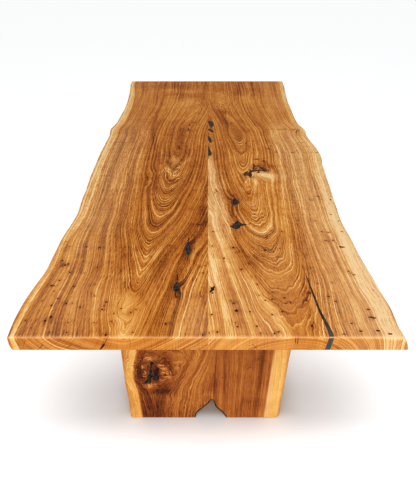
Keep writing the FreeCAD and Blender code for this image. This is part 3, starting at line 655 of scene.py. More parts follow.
RIGHT_PINS = [
    (18, 560, 6, 0.7), (14, 462, 6, 0.6), (85, 452, 8, 0.8), (90, 420, 4, 0.5), (52, 385, 7, 0.6),
    (105, 320, 6, 0.7), (80, 112, 9, 0.9), (65, 158, 4, 0.6), (74, 146, 5, 0.8), (10, 95, 5, 0.8),
    (75, 60, 4, 0.6), (25, 22, 5, 0.8), (3, 18, 4, 0.7), (80, 43, 5, 0.7), (132, 45, 5, 0.8),
    (140, 18, 4, 0.6), (176, 15, 5, 0.8), (188, 22, 5, 0.8), (178, 95, 5, 0.7), (190, 200, 4, 0.6),
    (185, 165, 5, 0.7), (165, 160, 5, 0.6), (208, 108, 5, 0.7), (148, 240, 5, 0.7), (150, 185, 4, 0.5),
    (118, 108, 5, 0.6), (222, 172, 6, 0.7), (237, 150, 5, 0.5), (284, 160, 6, 0.6), (280, 46, 6, 0.8),
    (222, 145, 4, 0.5), (300, 195, 6, 0.8), (295, 200, 4, 0.6), (190, 435, 8, 0.7), (240, 448, 4, 0.6),
    (262, 560, 6, 0.7), (105, 425, 4, 0.5), (130, 352, 6, 0.6), (390, 57, 6, 0.6), (407, 25, 7, 0.9),
    (360, 13, 6, 0.7), (449, 84, 8, 0.9), (457, 80, 8, 1.0), (453, 27, 8, 0.9), (451, 118, 7, 0.8),
    (482, 14, 8, 1.0), (440, 310, 6, 0.8), (452, 290, 7, 0.8), (445, 300, 5, 0.6), (368, 155, 6, 0.8),
    (352, 178, 7, 0.7), (430, 500, 7, 0.8), (405, 500, 6, 0.8), (412, 492, 4, 0.6), (395, 640, 5, 0.6),
    (440, 845, 8, 0.7), (325, 330, 4, 0.6), (332, 245, 4, 0.6), (490, 210, 4, 0.6), (375, 250, 4, 0.6),
    (210, 330, 4, 0.4), (28, 880, 5, 0.6), (35, 895, 6, 0.6), (36, 1245, 5, 0.6), (290, 1382, 7, 0.6),
    (404, 1326, 8, 0.6), (430, 1350, 7, 0.5), (326, 1332, 7, 0.6), (522, 1328, 8, 0.6), (490, 1412, 6, 0.5),
    (470, 1462, 7, 0.5), (455, 1664, 9, 0.6), (412, 1668, 9, 0.6), (380, 1660, 6, 0.5), (256, 1216, 9, 0.9),
    (228, 1241, 9, 0.7), (214, 1252, 6, 0.5), (160, 1061, 9, 0.9), (60, 1500, 6, 0.4), (305, 1485, 5, 0.4),
    (462, 690, 6, 0.5), (480, 640, 6, 0.6), (474, 560, 7, 0.4), (402, 560, 7, 0.5), (425, 556, 7, 0.6),
    (330, 640, 5, 0.6),
]
LEFT_SAP = [(0, 26), (120, 34), (300, 28), (480, 28), (650, 36), (900, 44), (1200, 40), (1700, 48),
            (2200, 42), (2500, 32), (2700, 26)]
RIGHT_SAP = [(0, 44), (150, 52), (300, 50), (450, 42), (700, 42), (900, 42), (1100, 42), (1400, 38),
             (1700, 30), (1900, 30), (2400, 30), (2700, 30)]
WEDGE = [(-200, 250), (0, 218), (300, 108), (420, 94), (700, 80), (900, 66), (1100, 48), (1240, 30),
         (1330, 0), (1360, -20)]
PALE_CORE = [(400, 30), (560, 26), (690, 30), (760, 24), (830, 14), (900, 12), (1000, 18), (1100, 12),
             (1300, 6)]


# %% Tone of the two boards
def board_tone(board, x, y, depth):
    """Base tone, share of sapwood, and how creamy the wood is at each point. Tone and cream carry a
    painted highlight along the top arrises of the two ends.
    """
    wide = np.interp(y, *rims[board["node"], TOP_Z])
    inset = wide - board["side"] * x
    if board is LEFT:
        tone = 0.51 + 0 * x
        # darker to the far end: partly the wood's tone, partly painted shade where the light falls off
        tone -= 0.04 * smooth_step(2420, 2520, y)
        bands, spots, flecks = LEFT_BANDS, LEFT_SPOTS, LEFT_FLECKS
        sap_wide = along_curve(LEFT_SAP, y)
        cream = 0.15 * smooth_step(-250, -430, x) * (0.6 + 0.4 * smooth_step(350, 650, y))
        cream = cream + 0.06 * bump(x, y, (-325, 150), (60, 130))
        cream = cream * (1 - 0.6 * smooth_step(1500, 2000, y)) + 0.13 * bump(x, y, (-30, 60), (60, 120))
    else:
        tone = 0.56 + 0.11 * smooth_step(320, 420, x) + 0.06 * smooth_step(440, 500, x)
        wedge = smooth_step(14, -20, x - along_curve(WEDGE, y, 30.0))
        pale = smooth_step(150, 20, x) * (0.55 + 0.45 * smooth_step(150, 420, y)) * smooth_step(640, 480, y)
        core = (x - along_curve(PALE_CORE, y, 40.0)) / (22 + 18 * smooth_step(1000, 620, y))
        pale = pale + np.exp(-core ** 2) * smooth_step(480, 640, y) * smooth_step(1330, 1150, y)
        wedge_tone = 0.60 + 0.24 * pale + 0.11 * bump(x, y, (40, 720), (60, 170))
        wedge_tone = wedge_tone - 0.03 * bump(x, y, (60, 420), (80, 110))
        tone = tone * (1 - wedge) + wedge * wedge_tone
        cream = 0.18 * smooth_step(280, 400, x) * (1 - 0.7 * smooth_step(1500, 1900, y))
        cream = cream + 0.14 * bump(x, y, (470, 60), (70, 260))
        cream = cream + wedge * (0.10 + 0.12 * smooth_step(400, 700, y) * pale)
        cream = cream + 0.3 * bump(x, y, SWIRL, (56, 40)) + 0.08 * bump(x, y, (215, 260), (70, 260))
        tone -= 0.07 * smooth_step(1700, 1900, y) * smooth_step(360, 440, x)
        # darker to the far end: partly the wood's tone, partly painted shade where the light falls off
        tone -= 0.08 * smooth_step(2200, 2420, y)
        bands, spots, flecks = RIGHT_BANDS, RIGHT_SPOTS, RIGHT_FLECKS
        sap_wide = along_curve(RIGHT_SAP, y)
    for amount, half_width, points in bands.values():
        tone = tone + amount * band(x, y, points, half_width)
    for amount, at, half_size in spots.values():
        tone = tone + amount * bump(x, y, at, half_size)
    for px, py, size, dark in LEFT_PINS if board is LEFT else RIGHT_PINS:
        tone = tone - 0.21 * dark * bump(x, y, (px, py), (6 + size, 4 + size))
    for at, half_size, amount in board["knots"]:
        tone = tone - 0.005 * abs(amount) * bump(x, y, at, half_size)
    # the sapwood of the right board begins softly, over half its width
    begins = (1.28, 0.72) if board is RIGHT else (1.05, 0.86)
    sap = smooth_step(*begins, inset / sap_wide)
    if board is RIGHT:
        sap_tone = 1.00 + 0.09 * smooth_step(1300, 700, y) + 0.09 * smooth_step(700, 300, y)
        sap_tone = sap_tone - 0.10 * smooth_step(1650, 1950, y)
        cream = cream * (1 - 0.5 * sap) + 0.35 * sap * smooth_step(1300, 700, y)
    else:
        sap_tone = 0.80 + 0.20 * smooth_step(300, 640, y) - 0.13 * smooth_step(1900, 2300, y)
        cream = cream * (1 - 0.5 * sap)
    border = np.exp(-((inset / sap_wide - 1.1) / 0.12) ** 2)
    tone = tone * (1 - sap) + sap_tone * sap - (0.04 if board is RIGHT else 0.10) * border
    for fx, fy, across, along in flecks:
        tone = tone + FLECK_TONE * bump(x, y, (fx, fy), (across, along))
    # the marks of the top fade a little way down the end faces. Along their top arrises a painted highlight
    # makes tone and cream paler, as where the eased edge catches the light
    end = np.minimum(y, LENGTH - y)
    down = smooth_step(1.2, 0.3, end) * smooth_step(1, 9, depth)
    tone = tone + (0.54 + 0.05 * (board is RIGHT) - tone) * 0.75 * down * (1 - sap)
    tone = tone + (0.72 - tone) * 0.8 * down * smooth_step(1, 14, depth) * sap
    painted_arris_highlight = np.exp(-((end + depth - 1.8) / 1.8) ** 2)
    # the skin of the tree, under the bark, stayed browner than the sapwood
    skin = smooth_step(6.0, 1.5, inset) * (1 - 0.6 * down)
    if board is RIGHT:
        skin = skin * (1 - 0.6 * smooth_step(120, 20, y))
    return tone + 0.14 * painted_arris_highlight - 0.46 * skin, sap, cream * (1 - 0.6 * down) * (1 - skin) + 0.22 * painted_arris_highlight


# %% [markdown]
# ## Oiled wood
# Elm is planed, sanded and oiled: a satin surface on which each ring shows a thin golden line, where
# it grew fast in spring, that darkens slowly to the next. One function makes the materials of both
# woods. A material reads the ring number and the tone from the mesh, jags the rings a little, and turns
# tone plus ring pattern into colour with one ramp, so that a dark line in pale wood is pale brown and
# never grey.

# %% The wood material
YEAR_STOPS = [(0.0, "#202020"), (0.1, "#ffffff"), (0.22, "#d8d8d8"), (0.36, "#868686"), (0.8, "#646464"),
              (1.0, "#202020")]  # how light the wood is through one ring


def wood(name, stops, ring, gloss, jag, gold, streaks, thin_lines, vessels):
    """name: what the wood is. stops: colours from tone 0 to 1. ring: width of a ring in mm. gloss:
    (roughness of dark wood, of pale wood). jag: how far rings waver, mm. gold, streaks, thin_lines,
    vessels: how bold the spring lines, the soft and the thin dark lines along the rings and the dark
    lines of open vessels are."""
    made, tree, surface = new_material(name)

    def math_node(operation, a, b=0.0, c=0.0):
        return add(tree, "Math", {0: a, 1: b, 2: c}, operation=operation).outputs[0]

    def around_zero(value, amount, plus):
        """plus + amount x (value - 0.5)"""
        return math_node("MULTIPLY_ADD", math_node("SUBTRACT", value, 0.5), amount, plus)

    def noise(u, u_mm, v_mm, detail, roughness=0.5):
        """Noise over a coordinate and the distance along the grain, each divided by a size in mm."""
        spot = add(tree, "CombineXYZ", {0: math_node("DIVIDE", u, u_mm), 1: math_node("DIVIDE", along, v_mm)})
        return add(tree, "TexNoise", {"Vector": spot.outputs[0], "Scale": 1.0, "Detail": detail,
                                      "Roughness": roughness}, noise_dimensions="2D").outputs[0]

    here = add(tree, "TexCoord").outputs["Object"]
    along, rings, fibre, tip, tone, bold_figure, cream = (
        add(tree, "Attribute", attribute_name=n).outputs["Fac"]
        for n in ("along", "rings", "fibre", "tip", "tone", "contrast", "cream"))
    # rings: 18 mm waves with finer ones on them, and years that grew fast or slowly
    wave = add(tree, "TexNoise", {"Vector": here, "Scale": 55.0, "Detail": 2.0, "Roughness": 0.55}).outputs[0]
    waver = around_zero(wave, 2.0 * jag, rings)
    years = add(tree, "TexNoise", {"W": math_node("DIVIDE", waver, 30.0), "Scale": 1.0, "Detail": 1.0},
                noise_dimensions="1D").outputs[0]
    part = math_node("FRACT", math_node("MULTIPLY_ADD", years, 3.2, math_node("DIVIDE", waver, ring)))
    year = add(tree, "ValToRGB", {0: part}, stops=YEAR_STOPS).outputs[0]
    bold = noise(waver, 4.4, 100.0, 1.0)
    broad = noise(waver, 19.0, 700.0, 2.0, 0.6)
    # lines along the rings, the short dashes of cut vessels, and darker vessels that stand open. Real
    # vessels are 0.3 mm wide; these are about 1 mm, the finest that can show
    lines_here = math_node("DIVIDE", around_zero(wave, 1.5, rings), 7.5)
    streak = add(tree, "TexNoise", {"W": lines_here, "Scale": 1.0, "Detail": 4.5, "Roughness": 0.85},
                 noise_dimensions="1D").outputs[0]
    fading = noise(rings, 6.0, 160.0, 2.0, 0.6)
    thin = add(tree, "TexNoise", {"W": math_node("DIVIDE", around_zero(wave, 1.2, rings), 3.2), "Scale": 1.0,
                                  "Detail": 1.0}, noise_dimensions="1D").outputs[0]
    thin = add(tree, "MapRange", {"Value": thin, "From Min": 0.54, "From Max": 0.68}).outputs[0]
    dash = noise(fibre, 1.8, 16.0, 2.0, 0.6)
    ripple = noise(fibre, 34.0, 9.0, 2.0)
    vessel = add(tree, "MapRange", {"Value": noise(fibre, 2.6, 42.0, 2.0, 0.6), "From Min": 0.53,
                                    "From Max": 0.72}).outputs[0]
    figure = math_node("MULTIPLY", math_node("SUBTRACT", year, 0.25),
                       math_node("MULTIPLY_ADD", bold, 3.4, -1.0))
    # where rings are cut flat, at the tips of the arches, their lines are wide and bold
    figure = math_node("MULTIPLY", figure, math_node("MULTIPLY_ADD", tip, 0.7 * gold, 0.25 * gold))
    figure = around_zero(broad, 0.48, figure)
    streak_size = math_node("MULTIPLY", math_node("MULTIPLY_ADD", fading, 2.0, 0.1), streaks)
    figure = around_zero(streak, streak_size, figure)
    figure = around_zero(fading, 0.3, figure)
    figure = math_node("MULTIPLY_ADD", math_node("MULTIPLY", thin, fading), -thin_lines, figure)
    figure = around_zero(dash, 0.3, figure)
    figure = around_zero(ripple, 0.1, figure)
    figure = math_node("MULTIPLY_ADD", vessel, -vessels, figure)
    level = math_node("MULTIPLY_ADD", figure, bold_figure, tone)
    cloud = add(tree, "TexNoise", {"Vector": here, "Scale": 13.0, "Detail": 3.0}).outputs[0]
    level = around_zero(cloud, 0.26, level)
    colour = add(tree, "ValToRGB", {0: level}, stops=stops).outputs[0]
    colour = add(tree, "Mix", {0: cream, 6: colour, 7: linear(CREAM)}, data_type="RGBA").outputs[2]
    shine = add(tree, "MapRange", {"Value": level, "To Min": gloss[0], "To Max": gloss[1]}).outputs[0]
    relief = math_node("MULTIPLY_ADD", vessel, -0.5, math_node("ADD", figure, dash))
    normal = add(tree, "Bump", {"Height": relief, "Strength": 0.3, "Distance": 0.0006}).outputs[0]
    shader = add(tree, "BsdfPrincipled", {"Base Color": colour, "Roughness": shine, "Normal": normal,
                                          "IOR": 1.46, "Specular IOR Level": 0.03}).outputs[0]
    tree.links.new(shader, surface)
    return made


CREAM = "#efc795"
ELM_STOPS = [(0.0, "#42200c"), (0.18, "#803b0f"), (0.32, "#a65617"), (0.5, "#c6782c"), (0.65, "#d98f3f"),
             (0.8, "#e8a957"), (0.94, "#f3c073"), (1.0, "#fddaa0")]
elm = wood("oiled elm", ELM_STOPS, ring=3.0, gloss=(0.58, 0.66), jag=1.0, gold=0.5, streaks=0.9,
           thin_lines=0.27, vessels=0.24)
print("materials:", [m.name for m in bpy.data.materials])

# %% The two boards
CALM = [  # how much bolder or calmer the figure is at a place: amount, (x, y), half sizes
    (-0.55, (-225, 70), (60, 130)), (-0.3, (-325, 150), (50, 120)), (-0.3, (205, 290), (80, 70)),
    (0.45, (-155, 1160), (80, 190)), (1.0, (40, 740), (50, 230)), (0.6, (20, 1030), (40, 150)),
    (0.5, (400, 1000), (90, 420)), (0.35, (-420, 1000), (90, 420)),
]
for board in (LEFT, RIGHT):
    points, quads, x, y, depth = board_shape(board["node"], board["side"])
    tone, sap, cream = board_tone(board, x, y, depth)
    ring, fibre, tip = board_rings(board, x, y, depth)
    # bolder in sapwood and over the heart, calmer at the near end, in the swirl and beside the split
    contrast = 1 + sap * (0.1 + 0.9 * bump(x, y, (490, 120), (60, 330)))
    contrast = contrast * (0.9 + 0.3 * np.exp(-(fibre / 150) ** 2)) * (0.85 + 0.15 * smooth_step(0.5, 6, y))
    contrast = contrast * (1 - 0.5 * bump(x, y, SWIRL, (50, 34)))
    contrast = contrast * (1 - 0.5 * bump(x, y, (236, 90), (80, 150)))
    # bolder far from the seam, in the near two thirds, and close to the seam at the near end
    outer = (0.5 - 0.2 * (x < 0) * smooth_step(700, 400, y)) * smooth_step(240, 360, abs(x))
    contrast = contrast * (1 + outer * smooth_step(2000, 1500, y))
    at_seam = 1 + 0.6 * bump(x, y, (-50, 200), (50, 330))
    contrast = contrast * (at_seam + 0.35 * bump(x, y, (60, 250), (70, 300)))
    for amount, at, half_size in CALM:
        contrast = contrast * (1 + amount * bump(x, y, at, half_size))
    piece = make_piece("elm_" + board["node"], points, quads,
                       {"rings": ring, "fibre": fibre, "tip": tip, "tone": tone, "along": y,
                        "contrast": contrast, "cream": cream})
    piece.data.materials.append(elm)
    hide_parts(board["node"])
    print(piece.name, len(points), "points", 2 * len(quads), "triangles")


# %% [markdown]
# ## Pin knots, bark and checks
# Elm from a tree that kept its side shoots is full of pin knots, drawn 6 to 20 mm wide with rims that
# fade, and dark checks run out from its larger knots. Each pin knot is a flat lens of bark that stands
# 0.06 mm out of the wood, inside the construction face, and each check is a thin ribbon that tapers to
# its ends. Both carry a number, how deep the point lies in the dark, which fades their rims to brown.

# %% Lenses and ribbons
LIFT = np.array([-0.04, 0.03, 0.06])  # mm out of the wood, from the rim to the middle
SIDES = 12
STATIONS = 18  # along a ribbon


def lenses(spots):
    """Flat lenses from rows of (u, v, half width, half height, darkness): a middle point and two rings
    of 12 points at 0.55 and 1.0 of the half sizes. Both rings are pulled in and out by up to 0.3."""
    u, v, a, b, dark = (np.array(spots, float).T)[:, :, None]
    angle = np.arange(SIDES) * 2 * math.pi / SIDES
    uneven = 1 + 0.3 * drift(u * 0.37 + 3 * np.cos(angle), v * 0.23 + 3 * np.sin(angle), 71)
    rings = [(0.0, LIFT[2], 1.0), (0.55, LIFT[1], 0.9), (1.0, LIFT[0], 0.25)]
    points = [np.stack([u + size * a * uneven * np.cos(angle), v + size * b * uneven * np.sin(angle),
                        lift + 0 * u + 0 * angle, dark * deep + 0 * angle], -1) for size, lift, deep in rings]
    points = np.concatenate([points[0][:, :1], points[1], points[2]], 1)
    k = np.arange(SIDES)
    after = (k + 1) % SIDES
    fan = np.stack([0 * k, 1 + k, 1 + after, 0 * k], -1)
    belt = np.stack([1 + k, 1 + SIDES + k, 1 + SIDES + after, 1 + after], -1)
    start = np.arange(len(points))[:, None, None] * points.shape[1]
    tris = (fan[None, :, :3] + start).reshape(-1, 3)
    quads = (belt[None] + start).reshape(-1, 4)
    return points.reshape(-1, 4), tris, quads


def ribbon(path, half_width, dark, seed):
    """A ribbon along a path of (u, v) corners. The path is evened out, and its half width swells as
    sin(pi t)^0.6 along it, with some unevenness. Across it lie five points."""
    path = np.array(path, float)
    run = np.concatenate([[0], np.cumsum(np.linalg.norm(np.diff(path, axis=0), axis=1))])
    at = np.linspace(0, run[-1], STATIONS)
    line = np.stack([np.interp(at, run, path[:, k]) for k in (0, 1)], 1)
    for _ in range(3):
        line[1:-1] = 0.25 * line[:-2] + 0.5 * line[1:-1] + 0.25 * line[2:]
    along = np.gradient(line, axis=0)
    side = np.stack([-along[:, 1], along[:, 0]], 1) / np.linalg.norm(along, axis=1)[:, None]
    t = np.linspace(0.04, 0.96, STATIONS)
    wide = half_width * np.sin(math.pi * t) ** 0.6 * (1 + 0.45 * drift(at / 9, path[0, 0], seed))
    across = np.array([-1, -0.55, 0, 0.55, 1.0])
    place = line[:, None] + (across[None, :] * wide[:, None])[..., None] * side[:, None]
    deep = dark * np.array([0.25, 0.9, 1.0, 0.9, 0.25]) * np.sin(math.pi * t)[:, None] ** 0.3
    lift = np.broadcast_to(LIFT[[0, 1, 2, 1, 0]], deep.shape)
    points = np.concatenate([place, lift[..., None], deep[..., None]], 2).reshape(-1, 4)
    i, j = np.meshgrid(np.arange(STATIONS - 1), np.arange(4), indexing="ij")
    a = (i * 5 + j).ravel()
    return points, np.stack([a + 1, a, a + 5, a + 6], 1)


def marks_piece(name, spots, checks, place, turned=False):
    """One piece of lenses and ribbons, in the bark material. place turns (u, v, lift) columns into points in
    mm, and turned is for a place that makes (u, v, lift) left handed."""
    points, tris, quads = lenses(spots)
    faces = [np.concatenate([tris, tris[:, :1]], 1), quads]
    for number, (path, half_width, dark) in enumerate(checks):
        more, strip = ribbon(path, half_width, dark, 80 + number)
        faces.append(strip + len(points))
        points = np.concatenate([points, more])
    faces = np.concatenate(faces)
    if turned:
        faces = faces[:, [0, 3, 2, 1]]
    mesh = bpy.data.meshes.new(name)
    mesh.from_pydata(place(*points[:, :3].T) * MM, [], [list(dict.fromkeys(f)) for f in faces.tolist()])
    mesh.shade_smooth()
    mesh.attributes.new("dark", "FLOAT", "POINT").data.foreach_set("value", points[:, 3].astype(np.float32))
    mesh.materials.append(bark)
    piece = bpy.data.objects.new(name, mesh)
    bpy.context.scene.collection.objects.link(piece)
    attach(piece, "root")
    print(name, len(spots), "lenses and", len(checks), "ribbons")


# %% Bark
# matt: copper where the number is below 0, brown at the rims, nearly black inside
BARK_STOPS = [(0.0, "#e6944c"), (0.14, "#bc6a2c"), (0.28, "#9c5626"), (0.55, "#743618"), (0.85, "#44190b"),
              (1.0, "#200b06")]
bark, tree, surface = new_material("bark in old knots")
here = add(tree, "TexCoord").outputs["Object"]
crumbs = add(tree, "TexNoise", {"Vector": here, "Scale": 260.0, "Detail": 2.0}).outputs[0]
dark = add(tree, "Attribute", attribute_name="dark").outputs["Fac"]
level = add(tree, "Math", {0: crumbs, 1: 0.5, 2: dark}, operation="MULTIPLY_ADD").outputs[0]
colour = add(tree, "ValToRGB", {0: level}, stops=BARK_STOPS).outputs[0]
normal = add(tree, "Bump", {"Height": crumbs, "Strength": 0.4, "Distance": 0.0005}).outputs[0]
shader = add(tree, "BsdfPrincipled", {"Base Color": colour, "Roughness": 0.75, "Normal": normal,
                                      "Specular IOR Level": 0.1}).outputs[0]
tree.links.new(shader, surface)

# %% Marks in the top
BARK_KNOTS = [  # x, y, half width, half length, darkness: bark at the seam, in knots and at the edges
    (13, 216, 8, 15, 1.0), (8, 204, 5, 9, 0.8), (18, 226, 4, 9, 0.9), (13, 196, 4, 6, 0.5),
    (452, 455, 11, 6, 1.0), (446, 457, 6, 9, 0.6), (485, 815, 4, 10, 0.9), (-140, 1385, 6, 15, 0.8),
    (-66, 442, 9, 50, 0.55), (-93, 226, 9, 36, 0.55), (168, 1073, 7, 16, 0.55), (105, 800, 17, 34, 0.55),
    (106, 608, 20, 34, 0.5), (222, 1106, 6, 8, 0.8), (172, 1070, 12, 30, 0.5), (210, 1160, 7, 16, 0.6),
    (212, 1132, 12, 14, 0.3),
]
TOP_CHECKS = [  # (x, y) along it, half width, darkness
    ([(206, 1108), (201, 1126), (204, 1147), (213, 1158), (228, 1156), (240, 1144)], 5.6, 1.0),
    ([(196, 1098), (188, 1110), (186, 1124)], 4.0, 0.7),
    ([(226, 1104), (222, 1088), (214, 1080)], 3.4, 0.7),
    ([(206, 1152), (207, 1168), (209, 1192)], 4.2, 0.8),
    ([(222, 1108), (224, 1092), (223, 1076)], 4.0, 0.8),
    ([(186, 1104), (172, 1096), (160, 1080), (156, 1062), (162, 1044)], 4.0, 0.9),
    ([(172, 1034), (186, 1026), (198, 1042)], 4.0, 0.9),
    ([(196, 1092), (208, 1100), (224, 1110), (240, 1104)], 5.0, 1.0),
    ([(258, 1088), (270, 1106), (258, 1130), (240, 1156)], 4.0, 0.9),
    ([(216, 1160), (238, 1170), (254, 1158)], 3.4, 0.7),
    ([(252, 1206), (257, 1217), (259, 1232)], 3.2, 0.8),
    ([(212, 1228), (226, 1243), (240, 1238)], 3.0, 0.6),
    ([(-160, 1496), (-153, 1524), (-150, 1556)], 2.6, 0.7),
    ([(-141, 1572), (-135, 1604), (-132, 1650)], 2.6, 0.8),
    ([(-110, 1632), (-104, 1660), (-106, 1690)], 4.4, 0.8), ([(-102, 1716), (-99, 1746)], 5.0, 0.8),
    ([(-39, 1980), (-37, 2018), (-42, 2060)], 2.6, 0.6),
    ([(486, 1668), (471, 1646), (462, 1606), (459, 1556)], 2.2, 0.6),
    ([(2, 1244), (3, 1268), (2, 1290)], 2.5, 0.8), ([(4, 1412), (3, 1436), (5, 1462)], 2.2, 0.9),
    ([(4, 1556), (3, 1590), (5, 1622)], 2.2, 0.9), ([(7, 1668), (14, 1690), (20, 1706)], 2.6, 0.8),
    ([(-94, 250), (-93, 276), (-97, 300)], 3.8, 0.7), ([(-97, 206), (-95, 186), (-91, 170)], 3.8, 0.6),
    ([(-68, 484), (-66, 522)], 3.0, 0.7), ([(-63, 408), (-67, 376)], 3.0, 0.7),
    ([(105, 836), (103, 852), (105, 866)], 2.4, 0.6), ([(105, 764), (107, 744)], 2.6, 0.5),
    ([(108, 654), (106, 672), (109, 690)], 2.4, 0.6), ([(142, 612), (152, 618), (160, 628)], 2.4, 0.5),
    ([(100, 576), (96, 562)], 2.2, 0.5), ([(302, 300), (300, 330), (300, 362)], 1.4, 0.7),
    ([(-458, 1046), (-440, 1050), (-424, 1047)], 2.5, 0.4),
    ([(292, 1664), (330, 1668), (352, 1664)], 2.6, 0.4),
    ([(-478, 1466), (-444, 1470), (-410, 1464)], 2.5, 0.4),
]


def on_top(x, y, lift):
    return np.stack([SEAM_X + x, y - HALF, TOP_Z - SUNK + lift], 1)


def pins(rows):
    """Lens rows from (x, y, size, darkness): somewhat longer along the grain than across it. Beside the
    right edge they are wider than long, and browner."""
    x, y, size, dark = np.array(rows, float).T
    edge = 0.35 * (x > 340)
    return np.stack([x, y, (0.74 + edge) * size, (0.95 - edge) * size, (0.98 - edge) * dark], 1).tolist()


marks_piece("top_pin_knots", pins(LEFT_PINS + RIGHT_PINS) + BARK_KNOTS, TOP_CHECKS, on_top)

# %% Checks in the near end
END_CHECKS = [  # (x, height) along it, half width, darkness
    ([(-264, 749), (-268, 739), (-274, 728)], 1.2, 0.5),
    ([(-272, 731), (-279, 719), (-288, 706)], 3.2, 1.0),
    ([(-436, 727), (-444, 717), (-452, 709)], 1.6, 0.8), ([(117, 728), (122, 720), (129, 711)], 1.3, 0.6),
    ([(230, 749), (231, 739), (231, 727)], 1.5, 0.6), ([(236, 749), (237, 739), (236, 726)], 1.5, 0.6),
    ([(-207, 748), (-205, 735), (-207, 717)], 1.0, 0.4),
    ([(-241, 742), (-238, 737), (-224, 736), (-210, 738)], 0.9, 0.35),
    ([(-372, 712), (-367, 719), (-361, 724)], 1.2, 0.4),
    ([(-346, 708), (-338, 711), (-330, 708)], 1.4, 0.5),
    ([(-508, 742), (-502, 730), (-500, 716)], 1.0, 0.4),
    ([(-480, 746), (-484, 732), (-492, 716)], 1.0, 0.4),
]
marks_piece("near_end_checks", [(-222, 744, 6, 1.5, 0.3), (-262, 742, 2, 1.5, 0.6)], END_CHECKS,
            lambda x, z, lift: np.stack([SEAM_X + x, -HALF + SUNK - lift, z], 1))

# %% [markdown]
# ## The slab legs
# Each leg is one waney slab, 50 mm thick, standing on end, with a natural void at its foot. Its lattice has
# columns across and rows up. The rows of the columns over the void start on the arch instead of on
# the floor, so the void needs no cutting. The two live edges lean outwards from the outer face
# to the inner one, because the slab was cut from the side of a trunk.

# %% Shape of a leg
LEG_OUT, LEG_IN = 975.0, 925.0  # distance of its two faces from the middle of the table
LEG_FOOT, LEG_TOP = 3.0, 705.0
SIDE_STRIP = 30.0  # along each live edge the columns keep their distance from it
OVER_VOID = (-58.0, 80.0)  # between these the columns stand upright
ACROSS_VOID = (250.0, 388.0)  # the same two places in the lattice, which is 596 mm wide
LEG_ACROSS = 596.0
LEG_THICK = LEG_OUT - LEG_IN
LEG_HIGH = LEG_TOP - LEG_FOOT
LEG_EDGES = (-250.0, 230.0)  # x from the seam: the points of the live edges lie outside these
VOID_AT, VOID_HALF, VOID_BELOW = 11.0, 75.0, 135.0  # the arch's points lie about this x, below this height
LEG_STEPS = (4.6, 5.0)  # mm between lattice lines across and through
LEG_ROWS = 150
LEG_ARRIS = 2.0  # radius
TALL = 1000.0  # height of the block for rounding: its middle is far from both ends, which stay square


def leg_outline(face):
    """Left edge, right edge and arch of the near leg, from its construction node's points at one
    face: the edges as (height, x), the arch as (x, height), with x from the seam."""
    p = node_points("near_leg") - [SEAM_X, 0, 0]
    p = p[abs(p[:, 1] + face) < IN_PLANE]
    found = []
    for part in (p[p[:, 0] < LEG_EDGES[0]], p[p[:, 0] > LEG_EDGES[1]]):
        part = part[np.argsort(part[:, 2])]
        found.append((part[:, 2], part[:, 0]))
    arch = p[(abs(p[:, 0] - VOID_AT) < VOID_HALF) & (p[:, 2] < VOID_BELOW)]
    arch = arch[np.argsort(arch[:, 0])]
    return (*found, (arch[:, 0], arch[:, 2]))


outer_left, outer_right, arch = leg_outline(LEG_OUT)
inner_left, inner_right, _ = leg_outline(LEG_IN)
print("leg edges have", len(outer_left[0]), len(outer_right[0]), "points, the arch", len(arch[0]))


def leg_edge(outer, inner, height, thick, side):
    """x of a live edge: straight from the outer face to the inner face, plus a belly 4t(1-t) of 3 mm,
    less a shallow wandering."""
    t = thick / LEG_THICK
    x = np.interp(height, *outer) * (1 - t) + np.interp(height, *inner) * t
    hollow = 0.8 * (1 + drift(height / 60, thick / 60 + 3, 41 + side))
    hollow += 0.4 * (1 + drift(height / 21, thick / 15, 47 + side))
    return x + side * (BELLY * 4 * t * (1 - t) - hollow * smooth_step(12, 60, height))


def leg_shape(end):
    """Lattice over (place across, share of the height, depth from the outer face). end is -1 near, 1 far."""
    rows = np.concatenate([[0, 0.4, 1.2, 2.6, 5, 8], np.linspace(12, LEG_HIGH, LEG_ROWS)]) / LEG_HIGH
    spans = (lines(0, LEG_ACROSS, LEG_STEPS[0]), rows, lines(0, LEG_THICK, LEG_STEPS[1], (0.0, 0.7, 2.0)))
    index, quads = lattice_skin([len(s) - 1 for s in spans])
    a, share, thick = (spans[k][index[:, k]] for k in range(3))
    place = eased(np.stack([a, share * 0 + TALL / 2, thick], 1), np.array([0, 0, SUNK]),
                  np.array([LEG_ACROSS, TALL, LEG_THICK]), LEG_ARRIS)
    a, thick = place[:, 0], place[:, 2]
    over = np.clip((a - ACROSS_VOID[0]) / (ACROSS_VOID[1] - ACROSS_VOID[0]), 0, 1)
    void_wide = OVER_VOID[1] - OVER_VOID[0]
    foot = np.interp(OVER_VOID[0] + over * void_wide, *arch, left=LEG_FOOT, right=LEG_FOOT)
    height = foot + (LEG_TOP - SUNK - foot) * share
    left = leg_edge(outer_left, inner_left, height, thick, -1)
    right = leg_edge(outer_right, inner_right, height, thick, 1)
    before = np.clip((a - SIDE_STRIP) / (ACROSS_VOID[0] - SIDE_STRIP), 0, 1)
    after = np.clip((a - ACROSS_VOID[1]) / (LEG_ACROSS - SIDE_STRIP - ACROSS_VOID[1]), 0, 1)
    x = left + np.minimum(a, SIDE_STRIP) + before * (OVER_VOID[0] - left - SIDE_STRIP)
    x = x + over * void_wide + after * (right - SIDE_STRIP - OVER_VOID[1])
    x = x + np.maximum(a - LEG_ACROSS + SIDE_STRIP, 0)
    points = np.stack([SEAM_X + x, end * (LEG_OUT - thick), height], 1)
    # (across, up, in) is right handed at the far leg's mirror image, so the near leg's quads are turned
    return points, quads[:, ::-1] if end < 0 else quads, x, height, thick


# %% [markdown]
# ## Rings and tone of a leg
# Grain flows round a knot as water flows round a stone: far away the lines are straight, beside the knot
# they crowd together. The stream lines of water past a round stone are s (1 - a^2 / r^2), with s the
# distance to one side, r the distance from the stone's middle and a its radius. Inside the stone the
# rings of the branch itself close round its pith.

